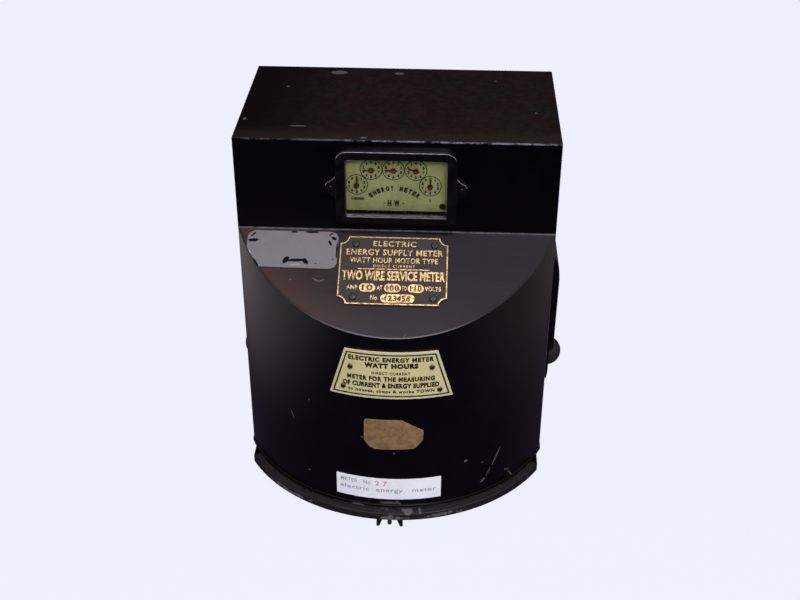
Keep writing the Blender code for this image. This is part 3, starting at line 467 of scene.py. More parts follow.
def cast_iron_look():
    """Rough black enamel on cast iron, chipped to grey in places and rubbed along its rim."""
    recipe = Recipe("cast_iron_enamel")
    pits = recipe.noise(0.0016, 5.0, 0.65)
    patches = recipe.span(recipe.noise(0.016, 5.0, 0.7, shift=0.2), 0.62, 0.7)
    colour = recipe.mix(recipe.span(pits, 0.3, 0.7), (0.005, 0.004, 0.005), (0.017, 0.016, 0.018))
    chips = ((0.0138, 0.007, 0, 0.0046, 0.003), (0.0145, 0.0026, 0, 0.003, 0.0012),
             (0.024, 0.0066, 0, 0.0012, 0.001))
    rubbed = ((-0.0005, 0.003, 0, 0.015, 0.004), (0.042, 0.003, 0, 0.022, 0.003),
              (-0.09, 0.003, 0, 0.03, 0.003))
    chips = recipe.marks(marks_on(barrel_frame, chips, CASTING_CHIP_DEPTH), 0.35)
    rubbed = recipe.marks(marks_on(barrel_frame, rubbed, CASTING_CHIP_DEPTH), 0.8, 0.004)
    colour = recipe.mix(recipe.times(rubbed, 0.8), colour, (0.12, 0.116, 0.114))
    wear = recipe.times(recipe.edges(0.0009, 0.08, 0.35), recipe.span(pits, 0.4, 0.6))
    bare = recipe.times(recipe.most(chips, patches, wear), 0.75)
    colour = recipe.mix(bare, colour, (0.13, 0.13, 0.14))
    recipe.bump(recipe.plus(pits, recipe.noise(0.006, 4.0, shift=0.5)), 0.0004, 0.7)
    return recipe.finish(colour, recipe.span(pits, 0.3, 0.7, 0.42, 0.62))


def metal_look(name, light, dark, roughness, grain=0.004, stretch=(1, 1, 1), tarnish=0.6):
    """Bare metal with dull blotches and fine scratches."""
    recipe = Recipe(name)
    blotch = recipe.span(recipe.noise(grain, 5.0, 0.65), 0.35, 0.68)
    colour = recipe.mix(recipe.times(blotch, tarnish), light, dark)
    brushed = recipe.noise(0.0006, 2.0, 0.5, stretch)
    recipe.bump(brushed, 0.00002, 0.5)
    rough = recipe.plus(recipe.times(blotch, 0.22), roughness)
    return recipe.finish(colour, rough, metallic=1.0)


def nameplate_look():
    """Dark enamel ground of the nameplate, with bare brass at its rim."""
    recipe = Recipe("nameplate_ground")
    up = recipe.facing(SLOPE_NORMAL, 0.8, 0.95)
    grime = recipe.noise(0.005, 5.0, 0.65)
    ground = recipe.mix(grime, (0.009, 0.005, 0.005), (0.028, 0.016, 0.015))
    brass = recipe.mix(recipe.span(grime, 0.35, 0.65), (0.62, 0.4, 0.17), (0.3, 0.17, 0.07))
    recipe.bump(recipe.noise(0.0007, 3.0), 0.00008, 0.8)
    roughness = recipe.plus(recipe.times(up, 0.15), 0.5)
    return recipe.finish(recipe.mix(up, brass, ground), roughness, recipe.less(1.0, up))


def lead_grey_look():
    """Thin lead-coloured plate, chipped to black round its rim and smeared near its foot."""
    recipe = Recipe("lead_grey")
    cloud = recipe.noise(0.006, 5.0, 0.7)
    colour = recipe.mix(cloud, (0.102, 0.096, 0.104), (0.168, 0.158, 0.168))
    rows = (
        (-0.116, 0.0124, 4, 0.0052, 0.0019), (-0.1165, 0.007, 48, 0.0036, 0.0009),
        (-0.0831, 0.0039, 0, 0.0036, 0.001), (-0.0683, 0.0037, 0, 0.0064, 0.0012),
        (-0.0527, 0.0052, 40, 0.0026, 0.0009), (-0.0502, 0.0093, -25, 0.003, 0.0016),
        (-0.0532, 0.0137, -65, 0.0032, 0.0012), (-0.0474, 0.02, 0, 0.0008, 0.0095),
        (-0.05, 0.029, 0, 0.0007, 0.0009), (-0.0636, 0.0331, 5, 0.0017, 0.0005),
        (-0.088, 0.0302, 60, 0.0046, 0.0024), (-0.0795, 0.0304, 3, 0.0096, 0.0017),
        (-0.0722, 0.0312, -50, 0.004, 0.0021), (-0.1125, 0.0345, -62, 0.006, 0.002),
    )
    chips = recipe.marks(marks_on(slope_frame, rows, PLATE_CHIP_DEPTH), 0.35, 0.0012)
    colour = recipe.mix(chips, colour, (0.0035, 0.003, 0.004))
    pale = ((-0.08, 0.0346, 6, 0.0056, 0.001), (-0.118, 0.024, 0, 0.0012, 0.0022))
    scuffs = recipe.marks(marks_on(slope_frame, pale, PLATE_CHIP_DEPTH), 0.6)
    colour = recipe.mix(scuffs, colour, (0.24, 0.23, 0.24))
    recipe.bump(recipe.less(cloud, chips), 0.0001, 0.6)
    gloss = recipe.less(0.5, recipe.times(chips, 0.47))
    return recipe.finish(colour, recipe.span(cloud, 0.3, 0.7, 0.4, 0.55), specular=gloss)


def ivory_look():
    """Cream enamel, yellowed inside a paler margin, with a touch of grime at the rim."""
    recipe = Recipe("ivory_enamel")
    cloud = recipe.noise(0.012, 4.0, 0.6)
    colour = recipe.mix(cloud, (0.5, 0.46, 0.19), (0.62, 0.575, 0.29))
    rim = recipe.times(recipe.edges(0.001, 0.02, 0.25), 0.6)
    colour = recipe.mix(rim, colour, (0.62, 0.6, 0.48))
    specks = recipe.span(recipe.noise(0.0012, 4.0, 0.8, shift=0.4), 0.68, 0.74)
    colour = recipe.mix(specks, colour, (0.2, 0.17, 0.09))
    recipe.bump(recipe.noise(0.002, 3.0), 0.00004, 0.5)
    return recipe.finish(colour, recipe.span(cloud, 0.3, 0.7, 0.38, 0.52))


def paper_look(name, light, dark, edge, grain, worn_rim=0.0):
    """Aged paper stuck on the japan: fibres, clouds, paler scuffs and a rubbed rim."""
    recipe = Recipe(name)
    cloud = recipe.noise(grain, 5.0, 0.7)
    colour = recipe.mix(recipe.span(cloud, 0.32, 0.68), light, dark)
    scuff = recipe.span(recipe.noise(grain * 0.35, 5.0, 0.75, (2.0, 1.0, 1.0), 0.6), 0.57, 0.68)
    colour = recipe.mix(recipe.times(scuff, 0.6), colour, edge)
    if worn_rim:
        colour = recipe.mix(recipe.edges(worn_rim, 0.02, 0.2), colour, edge)
    recipe.bump(recipe.noise(0.0006, 4.0, 0.7, (3.0, 3.0, 1.0)), 0.00005, 0.8)
    return recipe.finish(colour, 0.82, specular=0.25)


def dial_look():
    """Greenish cream dial, foxed, with painted shade greying it towards its foot below the window's sill."""
    recipe = Recipe("dial_cream")
    cloud = recipe.noise(0.01, 5.0, 0.65)
    colour = recipe.mix(recipe.span(cloud, 0.3, 0.7), (0.52, 0.49, 0.24), (0.68, 0.64, 0.34))
    height = recipe.axes()[2]
    # Painted shade greying the dial's foot, where the window's sill shades it.
    colour = recipe.mix(recipe.span(height, 0.247, 0.2425, 0.0, 0.75), colour, (0.16, 0.155, 0.12))
    colour = recipe.mix(recipe.span(recipe.noise(0.002, 4.0, 0.8, shift=0.2), 0.66, 0.74), colour,
                        (0.3, 0.24, 0.1))
    recipe.bump(recipe.noise(0.0015, 3.0), 0.00004, 0.5)
    return recipe.finish(colour, 0.5)


def ink_look(name, dark, faded):
    """Ink or stamping, thinner in places."""
    recipe = Recipe(name)
    colour = recipe.mix(recipe.span(recipe.noise(0.0016, 4.0, 0.7), 0.45, 0.75), dark, faded)
    return recipe.finish(colour, 0.55)


def winding_look(name, dark, light, pitch, direction):
    """Cotton-covered wire laid in close turns, varnished and dusty."""
    recipe = Recipe(name)
    band = recipe.node("TexWave", wave_type="BANDS", bands_direction=direction, Vector=recipe.place,
                       Scale=math.tau / (20 * pitch), Distortion=0.6, Detail=2.0, Detail_Scale=2.0)
    turns = band.outputs["Fac"]
    cloud = recipe.noise(0.01, 4.0, 0.65)
    colour = recipe.mix(turns, dark, light)
    colour = recipe.mix(recipe.span(cloud, 0.5, 0.75, 0.0, 0.6), colour, dark)
    height = recipe.plus(turns, recipe.times(recipe.noise(0.0004, 3.0), 0.3))
    recipe.bump(height, 0.0006, 0.9)
    return recipe.finish(colour, 0.62, specular=0.35)


def armature_look():
    """Fine wire wound over the ball from pole to pole, each layer crossing the last."""
    recipe = Recipe("armature_winding")
    x, y, z = recipe.axes(recipe.mapped((*SHAFT, ARMATURE_HEIGHT)))
    angle = recipe.maths("ARCTAN2", y, x)
    strands = recipe.maths("SINE", recipe.plus(recipe.times(angle, 96.0), 0.5))
    lean = recipe.maths("SINE", recipe.plus(recipe.times(angle, 16.0), recipe.times(z, 180.0)))
    strands = recipe.span(strands, -1.0, 1.0)
    colour = recipe.mix(strands, (0.05, 0.026, 0.014), (0.23, 0.12, 0.055))
    colour = recipe.mix(recipe.span(lean, 0.2, 0.9, 0.0, 0.55), colour, (0.11, 0.085, 0.05))
    recipe.bump(recipe.plus(strands, recipe.span(lean, -1.0, 1.0, 0.0, 1.4)), 0.0005, 0.9)
    return recipe.finish(colour, 0.55, specular=0.4)


def commutator_look():
    """Silver bars round the shaft with dark gaps between them."""
    recipe = Recipe("commutator_silver")
    x, y, z = recipe.axes(recipe.mapped((*SHAFT, 0)))
    bars = recipe.maths("COSINE", recipe.times(recipe.maths("ARCTAN2", y, x), 8.0))
    gap = recipe.span(bars, 0.9, 0.97)
    worn = recipe.noise(0.0008, 3.0, 0.6, (1.0, 1.0, 0.3))
    colour = recipe.mix(worn, (0.5, 0.49, 0.46), (0.86, 0.85, 0.82))
    colour = recipe.mix(gap, colour, (0.03, 0.02, 0.015))
    recipe.bump(recipe.less(worn, recipe.times(gap, 3.0)), 0.0002, 0.8)
    return recipe.finish(colour, recipe.span(worn, 0.3, 0.7, 0.22, 0.38), recipe.less(1.0, gap))


def disc_look():
    """Copper brake disc, turned in fine rings, with a tick scale at its rim."""
    recipe = Recipe("brake_disc_copper")
    x, y, z = recipe.axes(recipe.mapped((*SHAFT, DISC_HEIGHT)))
    reach = recipe.reach(x, y)
    rings = recipe.maths("SINE", recipe.times(reach, math.tau / 0.0007))
    ticks = recipe.maths("COSINE", recipe.times(recipe.maths("ARCTAN2", y, x), 50.0))
    ticks = recipe.times(recipe.span(ticks, 0.8, 0.95), recipe.span(reach, 0.059, 0.0592))
    tarnish = recipe.span(recipe.noise(0.018, 5.0, 0.65), 0.4, 0.7)
    colour = recipe.mix(tarnish, (0.78, 0.36, 0.2), (0.42, 0.17, 0.09))
    colour = recipe.mix(ticks, colour, (0.03, 0.015, 0.01))
    recipe.bump(rings, 0.00003, 0.6)
    return recipe.finish(colour, recipe.span(tarnish, 0.0, 1.0, 0.26, 0.42), metallic=1.0)


def painted_look(name, light, dark, roughness, grain=0.004, worn=None):
    """Brushed paint, with worn edges where a bare colour is given."""
    recipe = Recipe(name)
    cloud = recipe.noise(grain, 4.0, 0.6)
    colour = recipe.mix(cloud, dark, light)
    if worn:
        edge = recipe.times(recipe.edges(0.0007, 0.06, 0.3),
                            recipe.span(recipe.noise(grain * 0.5, 4.0, 0.7, shift=0.9), 0.45, 0.6))
        colour = recipe.mix(edge, colour, worn)
    recipe.bump(recipe.noise(grain * 0.25, 3.0), 0.00008, 0.6)
    return recipe.finish(colour, roughness)


def glass_look():
    """Old window glass: clear, faintly green, with a weak wavy reflection."""
    recipe = Recipe("window_glass")
    clear = recipe.node("BsdfTransparent", (0.9, 0.93, 0.88))
    wave = recipe.node("Bump", Distance=0.00006, Height=recipe.noise(0.012, 2.0))
    gloss = recipe.node("BsdfGlossy", Roughness=0.04, Normal=wave.outputs[0])
    share = recipe.times(recipe.node("Fresnel", 1.45).outputs[0], 0.8)
    return recipe.finish_as(recipe.blend(share, clear, gloss))


# ---- looks by material slot, and by node where a node has its own --------------------------
def slot_looks():
    return {
        "black_japan": worn_japan_look(),
        "cast_iron_black": cast_iron_look(),
        "bush_rubber": painted_look("bush_rubber", (0.02, 0.019, 0.02), (0.01, 0.009, 0.01), 0.75),
        "winding": winding_look("resistance_winding", (0.06, 0.03, 0.012), (0.32, 0.17, 0.06), 0.0009, "Z"),
        "fibre": painted_look("red_fibre", (0.16, 0.035, 0.02), (0.08, 0.018, 0.012), 0.65),
        "silver": metal_look("brush_silver", (0.74, 0.73, 0.7), (0.4, 0.39, 0.36), 0.24),
        "brass": metal_look("aged_brass", (0.66, 0.45, 0.18), (0.3, 0.18, 0.065), 0.26),
        "magnet_steel": painted_look("magnet_red", (0.15, 0.03, 0.022), (0.075, 0.016, 0.014), 0.42, 0.008,
                                     (0.2, 0.18, 0.17)),
        "dial_cream": dial_look(),
        "dark_screw": metal_look("browned_screw", (0.22, 0.13, 0.075), (0.06, 0.034, 0.022), 0.38),
        "clear_glass": glass_look(),
        "lead_grey": lead_grey_look(),
        "ivory_enamel": ivory_look(),
        "steel": metal_look("bright_steel", (0.52, 0.52, 0.53), (0.22, 0.2, 0.19), 0.28),
        "brown_paper": paper_look("brown_paper", (0.245, 0.152, 0.066), (0.15, 0.086, 0.036),
                                  (0.34, 0.225, 0.115), 0.006, 0.001),
        "white_paper": paper_look("white_paper", (0.85, 0.88, 0.92), (0.75, 0.8, 0.81),
                                  (0.8, 0.8, 0.88), 0.02),
        "copper": disc_look(),
        "red_pointer": painted_look("red_pointer", (0.22, 0.03, 0.02), (0.09, 0.012, 0.01), 0.38, 0.0015),
    }


def node_looks():
    coil = winding_look("field_coil_winding", (0.045, 0.026, 0.014), (0.2, 0.125, 0.06), 0.0042, "X")
    dull = metal_look("dull_screw", (0.17, 0.15, 0.13), (0.045, 0.04, 0.038), 0.4)
    black = painted_look("blacked_screw", (0.003, 0.0024, 0.003), (0.0008, 0.0006, 0.001), 0.36, 0.002)
    looks = {
        "cover": japan_look(),
        "nameplate": nameplate_look(),
        "window_bezel": bezel_look(),
        "armature": armature_look(),
        "field_coil_left": coil,
        "field_coil_right": coil,
        "commutator": commutator_look(),
    }
    for side in ("left", "right"):
        looks[f"bezel_screw_{side}"] = black
        for row in ("top", "bottom"):
            looks[f"maker_plate_screw_{row}_{side}"] = dull
            looks[f"nameplate_screw_{row}_{side}"] = black
    return looks


def paint_nodes(nodes):
    """Give each CAD node its own look, or that of its material slot."""
    by_slot = slot_looks()
    by_node = node_looks()
    for name, thing in nodes.items():
        slot = thing.data.materials[0].name.split(".")[0]
        thing.data.materials.clear()
        thing.data.materials.append(by_node.get(name) or by_slot[slot])


# ---- rounding -----------------------------------------------------------------------------
def soften(thing, radius, segments=2, limit=28):
    """Merge a CAD node's triangles into flat faces and round its sharp edges."""
    mesh = thing.data
    for name in ("custom_normal", "sharp_edge", "sharp_face"):
        if name in mesh.attributes:
            mesh.attributes.remove(mesh.attributes[name])
    mesh.polygons.foreach_set("use_smooth", [True] * len(mesh.polygons))
    weld = thing.modifiers.new("weld", "WELD")
    weld.merge_threshold = 0.000002
    merge = thing.modifiers.new("merge", "DECIMATE")
    merge.decimate_type = "DISSOLVE"
    merge.angle_limit = math.radians(0.5)
    rounding = thing.modifiers.new("rounding", "BEVEL")
    rounding.width = radius
    rounding.segments = segments
    rounding.limit_method = "ANGLE"
    rounding.angle_limit = math.radians(limit)
    rounding.harden_normals = True


def soften_all(nodes):
    radii = {
        0.0009: ("cover", "back_plate", "bottom_shelf", "mechanism_frame", "magnet_bracket",
                 "terminal_cover_left", "terminal_cover_right"),
        0.0006: ("window_bezel", "wing_nut", "brush_holder", "field_coil_left", "field_coil_right",
                 "brake_magnet_left", "brake_magnet_right", "brake_magnet_front"),
        0.0003: ("maker_plate", "nameplate", "movement_frame", "cover_stud", "wing_nut_washer",
                 "commutator", "disc_hub", "jewel_screw", "upper_bearing", "resistance_spool"),
        0.0002: ("dial_plate", "brake_disc", "brush_left", "brush_right"),
        0.00012: ("pointer_1", "pointer_2", "pointer_3", "pointer_4", "pointer_5", "patch_label"),
    }
    rounded = set()
    for radius, names in radii.items():
        for name in names:
            soften(nodes[name], radius, 3 if radius > 0.0005 else 2)
            rounded.add(name)
    for name, thing in nodes.items():
        if name not in rounded:
            soften(thing, 0.0001, 1, 35)


# ---- lettering and raised work ------------------------------------------------------------
def flat_letters(text, spacing, weight):
    """The filled outlines of a line of text, as points and faces in a plane."""
    curve = bpy.data.curves.new("letters", "FONT")
    curve.body = text
    curve.space_character = spacing
    curve.offset = weight
    curve.resolution_u = 3
    mesh = evaluated_mesh(put("letters", curve))
    points = [(v.co.x, v.co.y) for v in mesh.vertices]
    faces = [tuple(p.vertices) for p in mesh.polygons]
    bpy.data.curves.remove(curve)
    bpy.data.meshes.remove(mesh)
    return points, faces


def pill(u, v, width, height, steps=8):
    """Outline of a bar with round ends."""
    radius = height / 2
    outline = []
    for side in (1, -1):
        for i in range(steps + 1):
            angle = math.pi * (i / steps - side / 2)
            outline.append((u + side * (width / 2 - radius) + radius * math.cos(angle),
                            v + radius * math.sin(angle)))
    return outline


def bar(u, v, width, height):
    """Outline of a plain bar."""
    sides = ((-1, -1), (1, -1), (1, 1), (-1, 1))
    return [(u + across * width / 2, v + up * height / 2) for across, up in sides]


class Relief:
    """Letters and shapes laid flat on one face, then raised into a single piece."""

    def __init__(self, place_of):
        self.place_of = place_of
        self.shape = bmesh.new()

    def add(self, points, faces):
        corners = [self.shape.verts.new((u, v, 0)) for u, v in points]
        for face in faces:
            self.shape.faces.new([corners[i] for i in face])

    def outline(self, points):
        self.add(points, [tuple(range(len(points)))])

    def band(self, outer, inner):
        """The strip between two outlines with as many points each."""
        count = len(outer)
        faces = [(i, (i + 1) % count, count + (i + 1) % count, count + i) for i in range(count)]
        self.add(list(outer) + list(inner), faces)

    def ring(self, u, v, radius, width, steps=48):
        circles = []
        for reach in (radius + width / 2, radius - width / 2):
            angles = (math.tau * i / steps for i in range(steps))
            circles.append([(u + reach * math.cos(a), v + reach * math.sin(a)) for a in angles])
        self.band(*circles)

    def text(self, words, u, v, width, height, spacing=1.0, weight=0.0, turn=0.0):
        """A line of text fitted to a width and height, centred on a point."""
        points, faces = flat_letters(words, spacing, weight)
        low, high = ([pick(p[i] for p in points) for i in (0, 1)] for pick in (min, max))
        placed = []
        for point in points:
            across, up = ((point[i] - (low[i] + high[i]) / 2) * size / (high[i] - low[i])
                          for i, size in enumerate((width, height)))
            placed.append((u + across * math.cos(turn) - up * math.sin(turn),
                           v + across * math.sin(turn) + up * math.cos(turn)))
        self.add(placed, faces)

    def lines(self, rows):
        """Several lines of text, each a row of text()'s values."""
        for row in rows:
            self.text(*row)

    def piece(self, name, low, high, look, body="cover_assembly"):
        """Raise everything from low to high above the face, as one named piece."""
        top = bmesh.ops.extrude_face_region(self.shape, geom=self.shape.faces[:])
        raised = {v for v in top["geom"] if isinstance(v, bmesh.types.BMVert)}
        for corner in self.shape.verts:
            out = high if corner in raised else low
            corner.co = self.place_of(corner.co.x, corner.co.y, out)
        mesh = bpy.data.meshes.new(name)
        self.shape.to_mesh(mesh)
        self.shape.free()
        add_piece(name, mesh, look, body)


def on_nameplate(u, v, out):
    """A place on a plate, from two places along it and one outwards."""
    x, down = NAMEPLATE_CENTRE
    return slope_frame(x + u, down - v, GAP + NAMEPLATE_THICK + out).translation


def on_maker_plate(arc, z, out):
    return barrel_frame(arc, z, GAP + MAKER_THICK + out).translation


def on_white_label(arc, z, out):
    return barrel_frame(arc, z, GAP + LABEL_THICK + out).translation


def on_dial(x, z, out):
    return Vector((x, DIAL_FRONT - out, z))


def bitten_outline(inset, steps=6):
    """The nameplate's outline, moved inwards by an inset."""
    reach = NAMEPLATE_BITE + inset
    lean = math.asin(inset / reach)
    outline = []
    for turn, (u, v) in enumerate(((1, 1), (-1, 1), (-1, -1), (1, -1))):
        start = 1.5 * math.pi - lean
        end = math.pi + lean
        for i in range(steps + 1):
            angle = start + (end - start) * i / steps + turn * math.pi / 2
            outline.append((u * NAMEPLATE_HALF[0] + reach * math.cos(angle),
                            v * NAMEPLATE_HALF[1] + reach * math.sin(angle)))
    return outline


def dress_nameplate():
    """Raised brass border, generic wording and number tabs on the slope's plate."""
    brass = metal_look("relief_brass", (0.78, 0.56, 0.27), (0.15, 0.088, 0.04), 0.25, 0.0024, tarnish=1.0)
    relief = Relief(on_nameplate)
    relief.band(bitten_outline(0.0002), bitten_outline(0.0011))
    relief.outline(bar(0.0004, 0.001, 0.058, 0.0008))
    row = -0.016
    relief.lines((
        ("ELECTRIC", 0.0004, 0.0247, 0.0348, 0.005, 1.15, 0.018),
        ("ENERGY SUPPLY METER", 0.0007, 0.0166, 0.078, 0.0055, 1.1, 0.018),
        ("WATT HOUR MOTOR TYPE", 0.0003, 0.0092, 0.0707, 0.0049, 1.1, 0.014),
        ("DIRECT CURRENT", 0.0007, 0.0039, 0.0335, 0.0024, 1.4, 0.01),
        ("TWO WIRE SERVICE METER", 0.0005, -0.005, 0.0825, 0.009, 1.0, 0.03),
        ("AMP", -0.0322, row, 0.0088, 0.0042, 1.05, 0.02),
        ("AT", -0.0101, row, 0.0046, 0.0042, 1.05, 0.02),
        ("TO", 0.0096, row, 0.0036, 0.0042, 1.05, 0.02),
        ("VOLTS", 0.0323, row, 0.0128, 0.0042, 1.05, 0.02),
        ("No", -0.0144, -0.025, 0.0054, 0.0042, 1.0, 0.016),
    ))
    tabs = ((-0.02, row, 0.013, "10"), (0.0002, row, 0.0135, "100"), (0.0188, row, 0.0128, "110"),
            (0.0045, -0.0253, 0.0272, "123456"))
    stamped = Relief(on_nameplate)
    for u, v, width, figures in tabs:
        relief.outline(pill(u, v, width, 0.0076))
        stamped.text(figures, u, v, min(width * 0.74, 0.0044 * len(figures)), 0.0052, 1.1, 0.035)
    relief.piece("nameplate_relief", 0.0, RELIEF, brass)
    stamped.piece("nameplate_figures", RELIEF, RELIEF + PRINT,
                  ink_look("stamped_figures", (0.03, 0.015, 0.008), (0.08, 0.04, 0.02)))


def maker_edge(z, side, inset):
    """How far the plate on the barrel reaches to a side (-1 or 1) at a height, less an inset."""
    share = (z - MAKER_LOW) / (MAKER_HIGH - MAKER_LOW)
    foot, head = (ends[0 if side < 0 else 1] for ends in (MAKER_FOOT, MAKER_HEAD))
    return foot + (head - foot) * share - side * inset


def maker_outline(inset, steps=12):
    """The barrel plate's outline moved inwards, its edges cut into short ones that can bend."""
    low, high = MAKER_LOW + inset, MAKER_HIGH - inset
    corners = [(maker_edge(z, side, inset * 1.05), z)
               for z, side in ((low, -1), (low, 1), (high, 1), (high, -1))]
    outline = []
    for start, end in zip(corners, corners[1:] + corners[:1]):
        outline += [[start[axis] + (end[axis] - start[axis]) * i / steps for axis in (0, 1)]
                    for i in range(steps)]
    return outline


def dress_maker_plate():
    """Printed border, margin and generic wording of the ivory plate."""
    margin_paint = painted_look("margin_cream", (0.6, 0.57, 0.36), (0.5, 0.47, 0.28), 0.5)
    olive = ink_look("olive_line", (0.022, 0.022, 0.006), (0.055, 0.055, 0.02))
    for name, outer, inner, look in (("margin", 0.0003, 0.002, margin_paint),
                                     ("border", 0.0021, 0.0034, olive)):
        strip = Relief(on_maker_plate)
        strip.band(maker_outline(outer), maker_outline(inner))
        strip.piece(f"maker_plate_{name}", 0.0, PRINT, look)
    words = Relief(on_maker_plate)
    words.outline(bar(0.0002, 0.1521, 0.022, 0.0005))
    words.lines((
        ("ELECTRIC ENERGY METER", 0.0, 0.1624, 0.068, 0.0046, 1.2, 0.06),
        ("WATT HOURS", 0.0002, 0.1566, 0.0427, 0.005, 1.2, 0.075),
        ("DIRECT CURRENT", 0.0, 0.1493, 0.0306, 0.0027, 1.3, 0.035),
        ("METER FOR THE MEASURING", -0.0002, 0.1438, 0.07, 0.0046, 1.2, 0.058),
        ("OF CURRENT & ENERGY SUPPLIED", -0.0002, 0.1374, 0.0775, 0.0049, 1.1, 0.058),
        ("to houses, shops & works TOWN", 0.0, 0.1313, 0.0695, 0.0041, 1.2, 0.04),
    ))
    words.piece("maker_plate_wording", 0.0, PRINT,
                ink_look("plate_ink", (0.004, 0.004, 0.003), (0.02, 0.02, 0.012)))


def dress_labels():
    """Faint generic pen writing on the white label."""
    grey = ink_look("grey_pen", (0.3, 0.3, 0.36), (0.48, 0.49, 0.56))
    red = ink_look("red_pen", (0.56, 0.13, 0.16), (0.64, 0.36, 0.4))
    writing = (("METER   No", -0.0305, 0.035, 0.026, 0.0042, 1.1, 0.012),
               ("electric  energy   meter", -0.003, 0.0272, 0.082, 0.0056, 1.1, 0.012))
    number = (("2 7", -0.0085, 0.0348, 0.01, 0.0048, 1.1, 0.012),)
    for name, rows, ink in (("label_writing", writing, grey), ("label_number", number, red)):
        pen = Relief(on_white_label)
        pen.lines(rows)
        pen.piece(name, 0.0, PRINT, ink)


def dial_centres():
    """Dial centres from the highest decade at the left to the units at the right."""
    across, down = OUTER_DIAL_SHIFT
    right = ((DIAL_PITCH, 0), (DIAL_PITCH + across, down))
    shifts = [(-x, z) for x, z in reversed(right)] + [(0, 0), *right]
    return [(MIDDLE_DIAL_X + x, TOP_DIAL_HEIGHT + z) for x, z in shifts]


def dress_dial():
    """Five numbered rings, the unit marks and a generic word in an arc."""
    face = Relief(on_dial)
    for number, (x, z) in enumerate(dial_centres()):
        face.ring(x, z, DIAL_RING, 0.0007)
        way = 1 if number % 2 == 0 else -1
        for figure in range(10):
            angle = math.pi / 2 - way * math.tau * figure / 10
            face.text(str(figure), x + FIGURE_RING * math.cos(angle), z + FIGURE_RING * math.sin(angle),
                      0.0009 if figure == 1 else 0.0019, 0.0027, 1.0, 0.065)
    words = "ENERGY METER"
    step = WORD_ARC / (len(words) - 1)
    for i, letter in enumerate(words):
        angle = math.pi / 2 - (i - (len(words) - 1) / 2) * step
        if letter != " ":
            face.text(letter, WORD_CENTRE[0] + WORD_RADIUS * math.cos(angle),
                      WORD_CENTRE[1] + WORD_RADIUS * math.sin(angle),
                      0.0028, 0.0044, 1.0, 0.075, angle - math.pi / 2)
    face.lines((
        ("H", -0.0059, 0.2518, 0.0033, 0.0056, 1.0, 0.08),
        ("W", 0.0, 0.2518, 0.0048, 0.0056, 1.0, 0.08),
        ("10000", -0.0317, 0.2554, 0.0104, 0.0027, 1.1, 0.06),
        ("1", 0.027, 0.2549, 0.0011, 0.0027, 1.0, 0.06),
    ))
    for x in (-0.01, 0.0052):
        face.outline(bar(x, 0.2517, 0.0016, 0.0009))
    ink = ink_look("dial_ink", (0.003, 0.004, 0.003), (0.014, 0.018, 0.009))
    face.piece("dial_markings", 0.0, PRINT, ink, "base")


# ---- wiring -------------------------------------------------------------------------------
def wire(name, stops, look, radius=WIRE):
    """A cotton-covered wire bent smoothly through some places inside the meter."""
    curve = bpy.data.curves.new(name, "CURVE")
    curve.dimensions = "3D"
    curve.bevel_depth = radius
    curve.bevel_resolution = 2
    curve.use_fill_caps = True
    path = curve.splines.new("BEZIER")
    path.bezier_points.add(len(stops) - 1)
    for knot, stop in zip(path.bezier_points, stops):
        knot.co = stop
        knot.handle_left_type = knot.handle_right_type = "AUTO"
    shape = bmesh.new()
    shape.from_mesh(evaluated_mesh(put(name, curve)))
    bpy.data.curves.remove(curve)
    bmesh.ops.remove_doubles(shape, verts=shape.verts, dist=0.00001)
    mesh = bpy.data.meshes.new(name)
    shape.to_mesh(mesh)
    shape.free()
    add_piece(name, mesh, look, "base")


def wire_up():
    """Leads between the terminals, the field coils, the brushes and the resistance."""
    covered = painted_look("cotton_covered_wire", (0.15, 0.09, 0.045), (0.06, 0.035, 0.018), 0.7, 0.0012)
    for side, name in ((-1, "left"), (1, "right")):
        line = [(0.117, -0.0175, 0.046), (0.104, -0.028, 0.078), (0.066, -0.046, 0.097),
                (0.051, -0.064, 0.109), (0.0432, -0.078, 0.124)]
        wire(f"line_lead_{name}", [(side * x, y, z) for x, y, z in line], covered, HEAVY_WIRE)
    wire("coil_lead", [(-0.03, -0.07, 0.2045), (-0.016, -0.063, 0.2125), (0.016, -0.063, 0.2125),
                       (0.03, -0.07, 0.2045)], covered, HEAVY_WIRE)
    wire("brush_lead_left", [(-0.0125, -0.0745, 0.2212), (-0.02, -0.066, 0.212), (-0.055, -0.048, 0.202),
                             (-0.084, -0.043, 0.199), (-0.09, -0.046, 0.1904)], covered)
    wire("brush_lead_right", [(0.0125, -0.0745, 0.2212), (0.022, -0.062, 0.212), (0.06, -0.04, 0.196),
                              (0.104, -0.026, 0.14), (0.113, -0.0185, 0.06)], covered)
    wire("spool_lead", [(-0.1038, -0.046, 0.126), (-0.111, -0.041, 0.112), (-0.1145, -0.027, 0.088),
                        (-0.112, -0.018, 0.056)], covered)


# ---- stage --------------------------------------------------------------------------------
def area_light(name, place, target, size, power, colour):
    lamp = bpy.data.lights.new(name, "AREA")
    lamp.shape = "RECTANGLE"
    lamp.size, lamp.size_y = size
    lamp.energy = power
    lamp.color = colour
    made = put(name, lamp)
    made.location = place
    made.rotation_mode = "QUATERNION"
    made.rotation_quaternion = (Vector(target) - Vector(place)).to_track_quat("-Z", "Y")


def build_camera():
    lens = bpy.data.cameras.new("camera")
    lens.lens = LENS
    lens.sensor_width = 36.0
    camera = put("camera", lens)
    forward = Vector((-math.sin(CAMERA_YAW) * math.cos(CAMERA_PITCH),
                      math.cos(CAMERA_YAW) * math.cos(CAMERA_PITCH), -math.sin(CAMERA_PITCH)))
    right = Vector((math.cos(CAMERA_YAW), math.sin(CAMERA_YAW), 0))
    up = right.cross(forward)
    turn = Matrix((right, up, -forward)).transposed().to_4x4()
    camera.matrix_world = Matrix.Translation(CAMERA_PLACE) @ turn @ Matrix.Rotation(CAMERA_ROLL, 4, "Z")
    bpy.context.scene.camera = camera


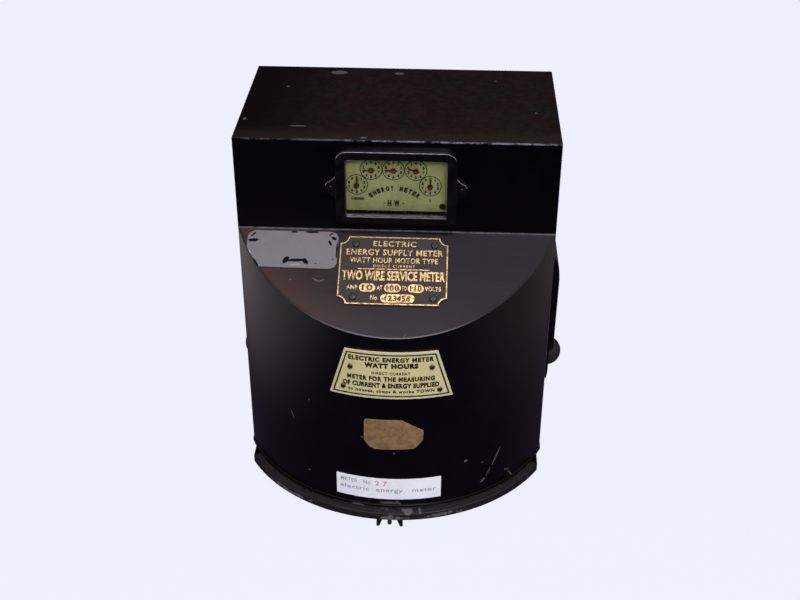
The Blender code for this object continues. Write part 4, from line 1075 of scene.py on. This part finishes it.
def build_world():
    """Pale behind the meter, a broad soft light overhead, and dim all round for reflections."""
    sky = Recipe("studio", "worlds", "Generated")
    overhead = sky.span(sky.axes()[2], 0.62, 1.0, 0.012, 0.5)
    soft = sky.node("Background", (1.0, 0.93, 1.0), overhead)
    pale = sky.node("Background", BACKDROP)
    seen = sky.node("LightPath").outputs["Is Camera Ray"]
    bpy.context.scene.world = sky.finish_as(sky.blend(seen, soft, pale))


def floor_look():
    """Pale to the eye, but dark in the meter's gloss except far out to the sides."""
    recipe = Recipe("pale_floor")
    ray = recipe.node("LightPath").outputs
    x, y, z = recipe.axes()
    aside = recipe.off(x)
    sides = recipe.span(aside, 0.2, 0.5, 0.07, 0.2)
    left = recipe.times(recipe.span(x, -0.21, -0.42, 0.0, 0.3), recipe.span(x, -1.0, -0.45, 0.3, 1.0))
    strength = recipe.times(recipe.plus(sides, left), recipe.span(y, -0.68, -0.6, 0.05, 1.0))
    tint = recipe.mix(recipe.span(aside, 0.15, 0.4), (0.65, 0.5, 1.0), (1.0, 0.86, 0.92))
    lit = recipe.node("BsdfDiffuse", (0.8, 0.79, 0.88))
    seen = recipe.blend(0.98, lit, recipe.node("Emission", BACKDROP))
    mirrored = recipe.blend(ray["Is Glossy Ray"], lit, recipe.node("Emission", tint, strength))
    return recipe.finish_as(recipe.blend(ray["Is Camera Ray"], mirrored, seen))


def build_stage():
    bpy.context.scene.view_settings.view_transform = "Standard"
    build_camera()
    build_world()
    mesh = bpy.data.meshes.new("floor")
    mesh.from_pydata([(*corner, FLOOR_HEIGHT) for corner in bar(0, 0, 2 * FLOOR_REACH, 2 * FLOOR_REACH)],
                     [], [(0, 1, 2, 3)])
    mesh.materials.append(floor_look())
    put("floor", mesh)
    area_light("key", (0.25, -1.35, 1.3), (0, -0.15, 0.15), (0.7, 0.5), 20, (1.0, 0.97, 1.0))
    area_light("overhead", (0.05, -0.45, 1.35), (0, -0.15, 0.2), (0.9, 0.25), 6, (0.97, 0.93, 1.0))


def main():
    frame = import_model()
    paint_nodes(frame["nodes"])
    soften_all(frame["nodes"])
    dress_nameplate()
    dress_maker_plate()
    dress_dial()
    dress_labels()
    wire_up()
    build_stage()


main()
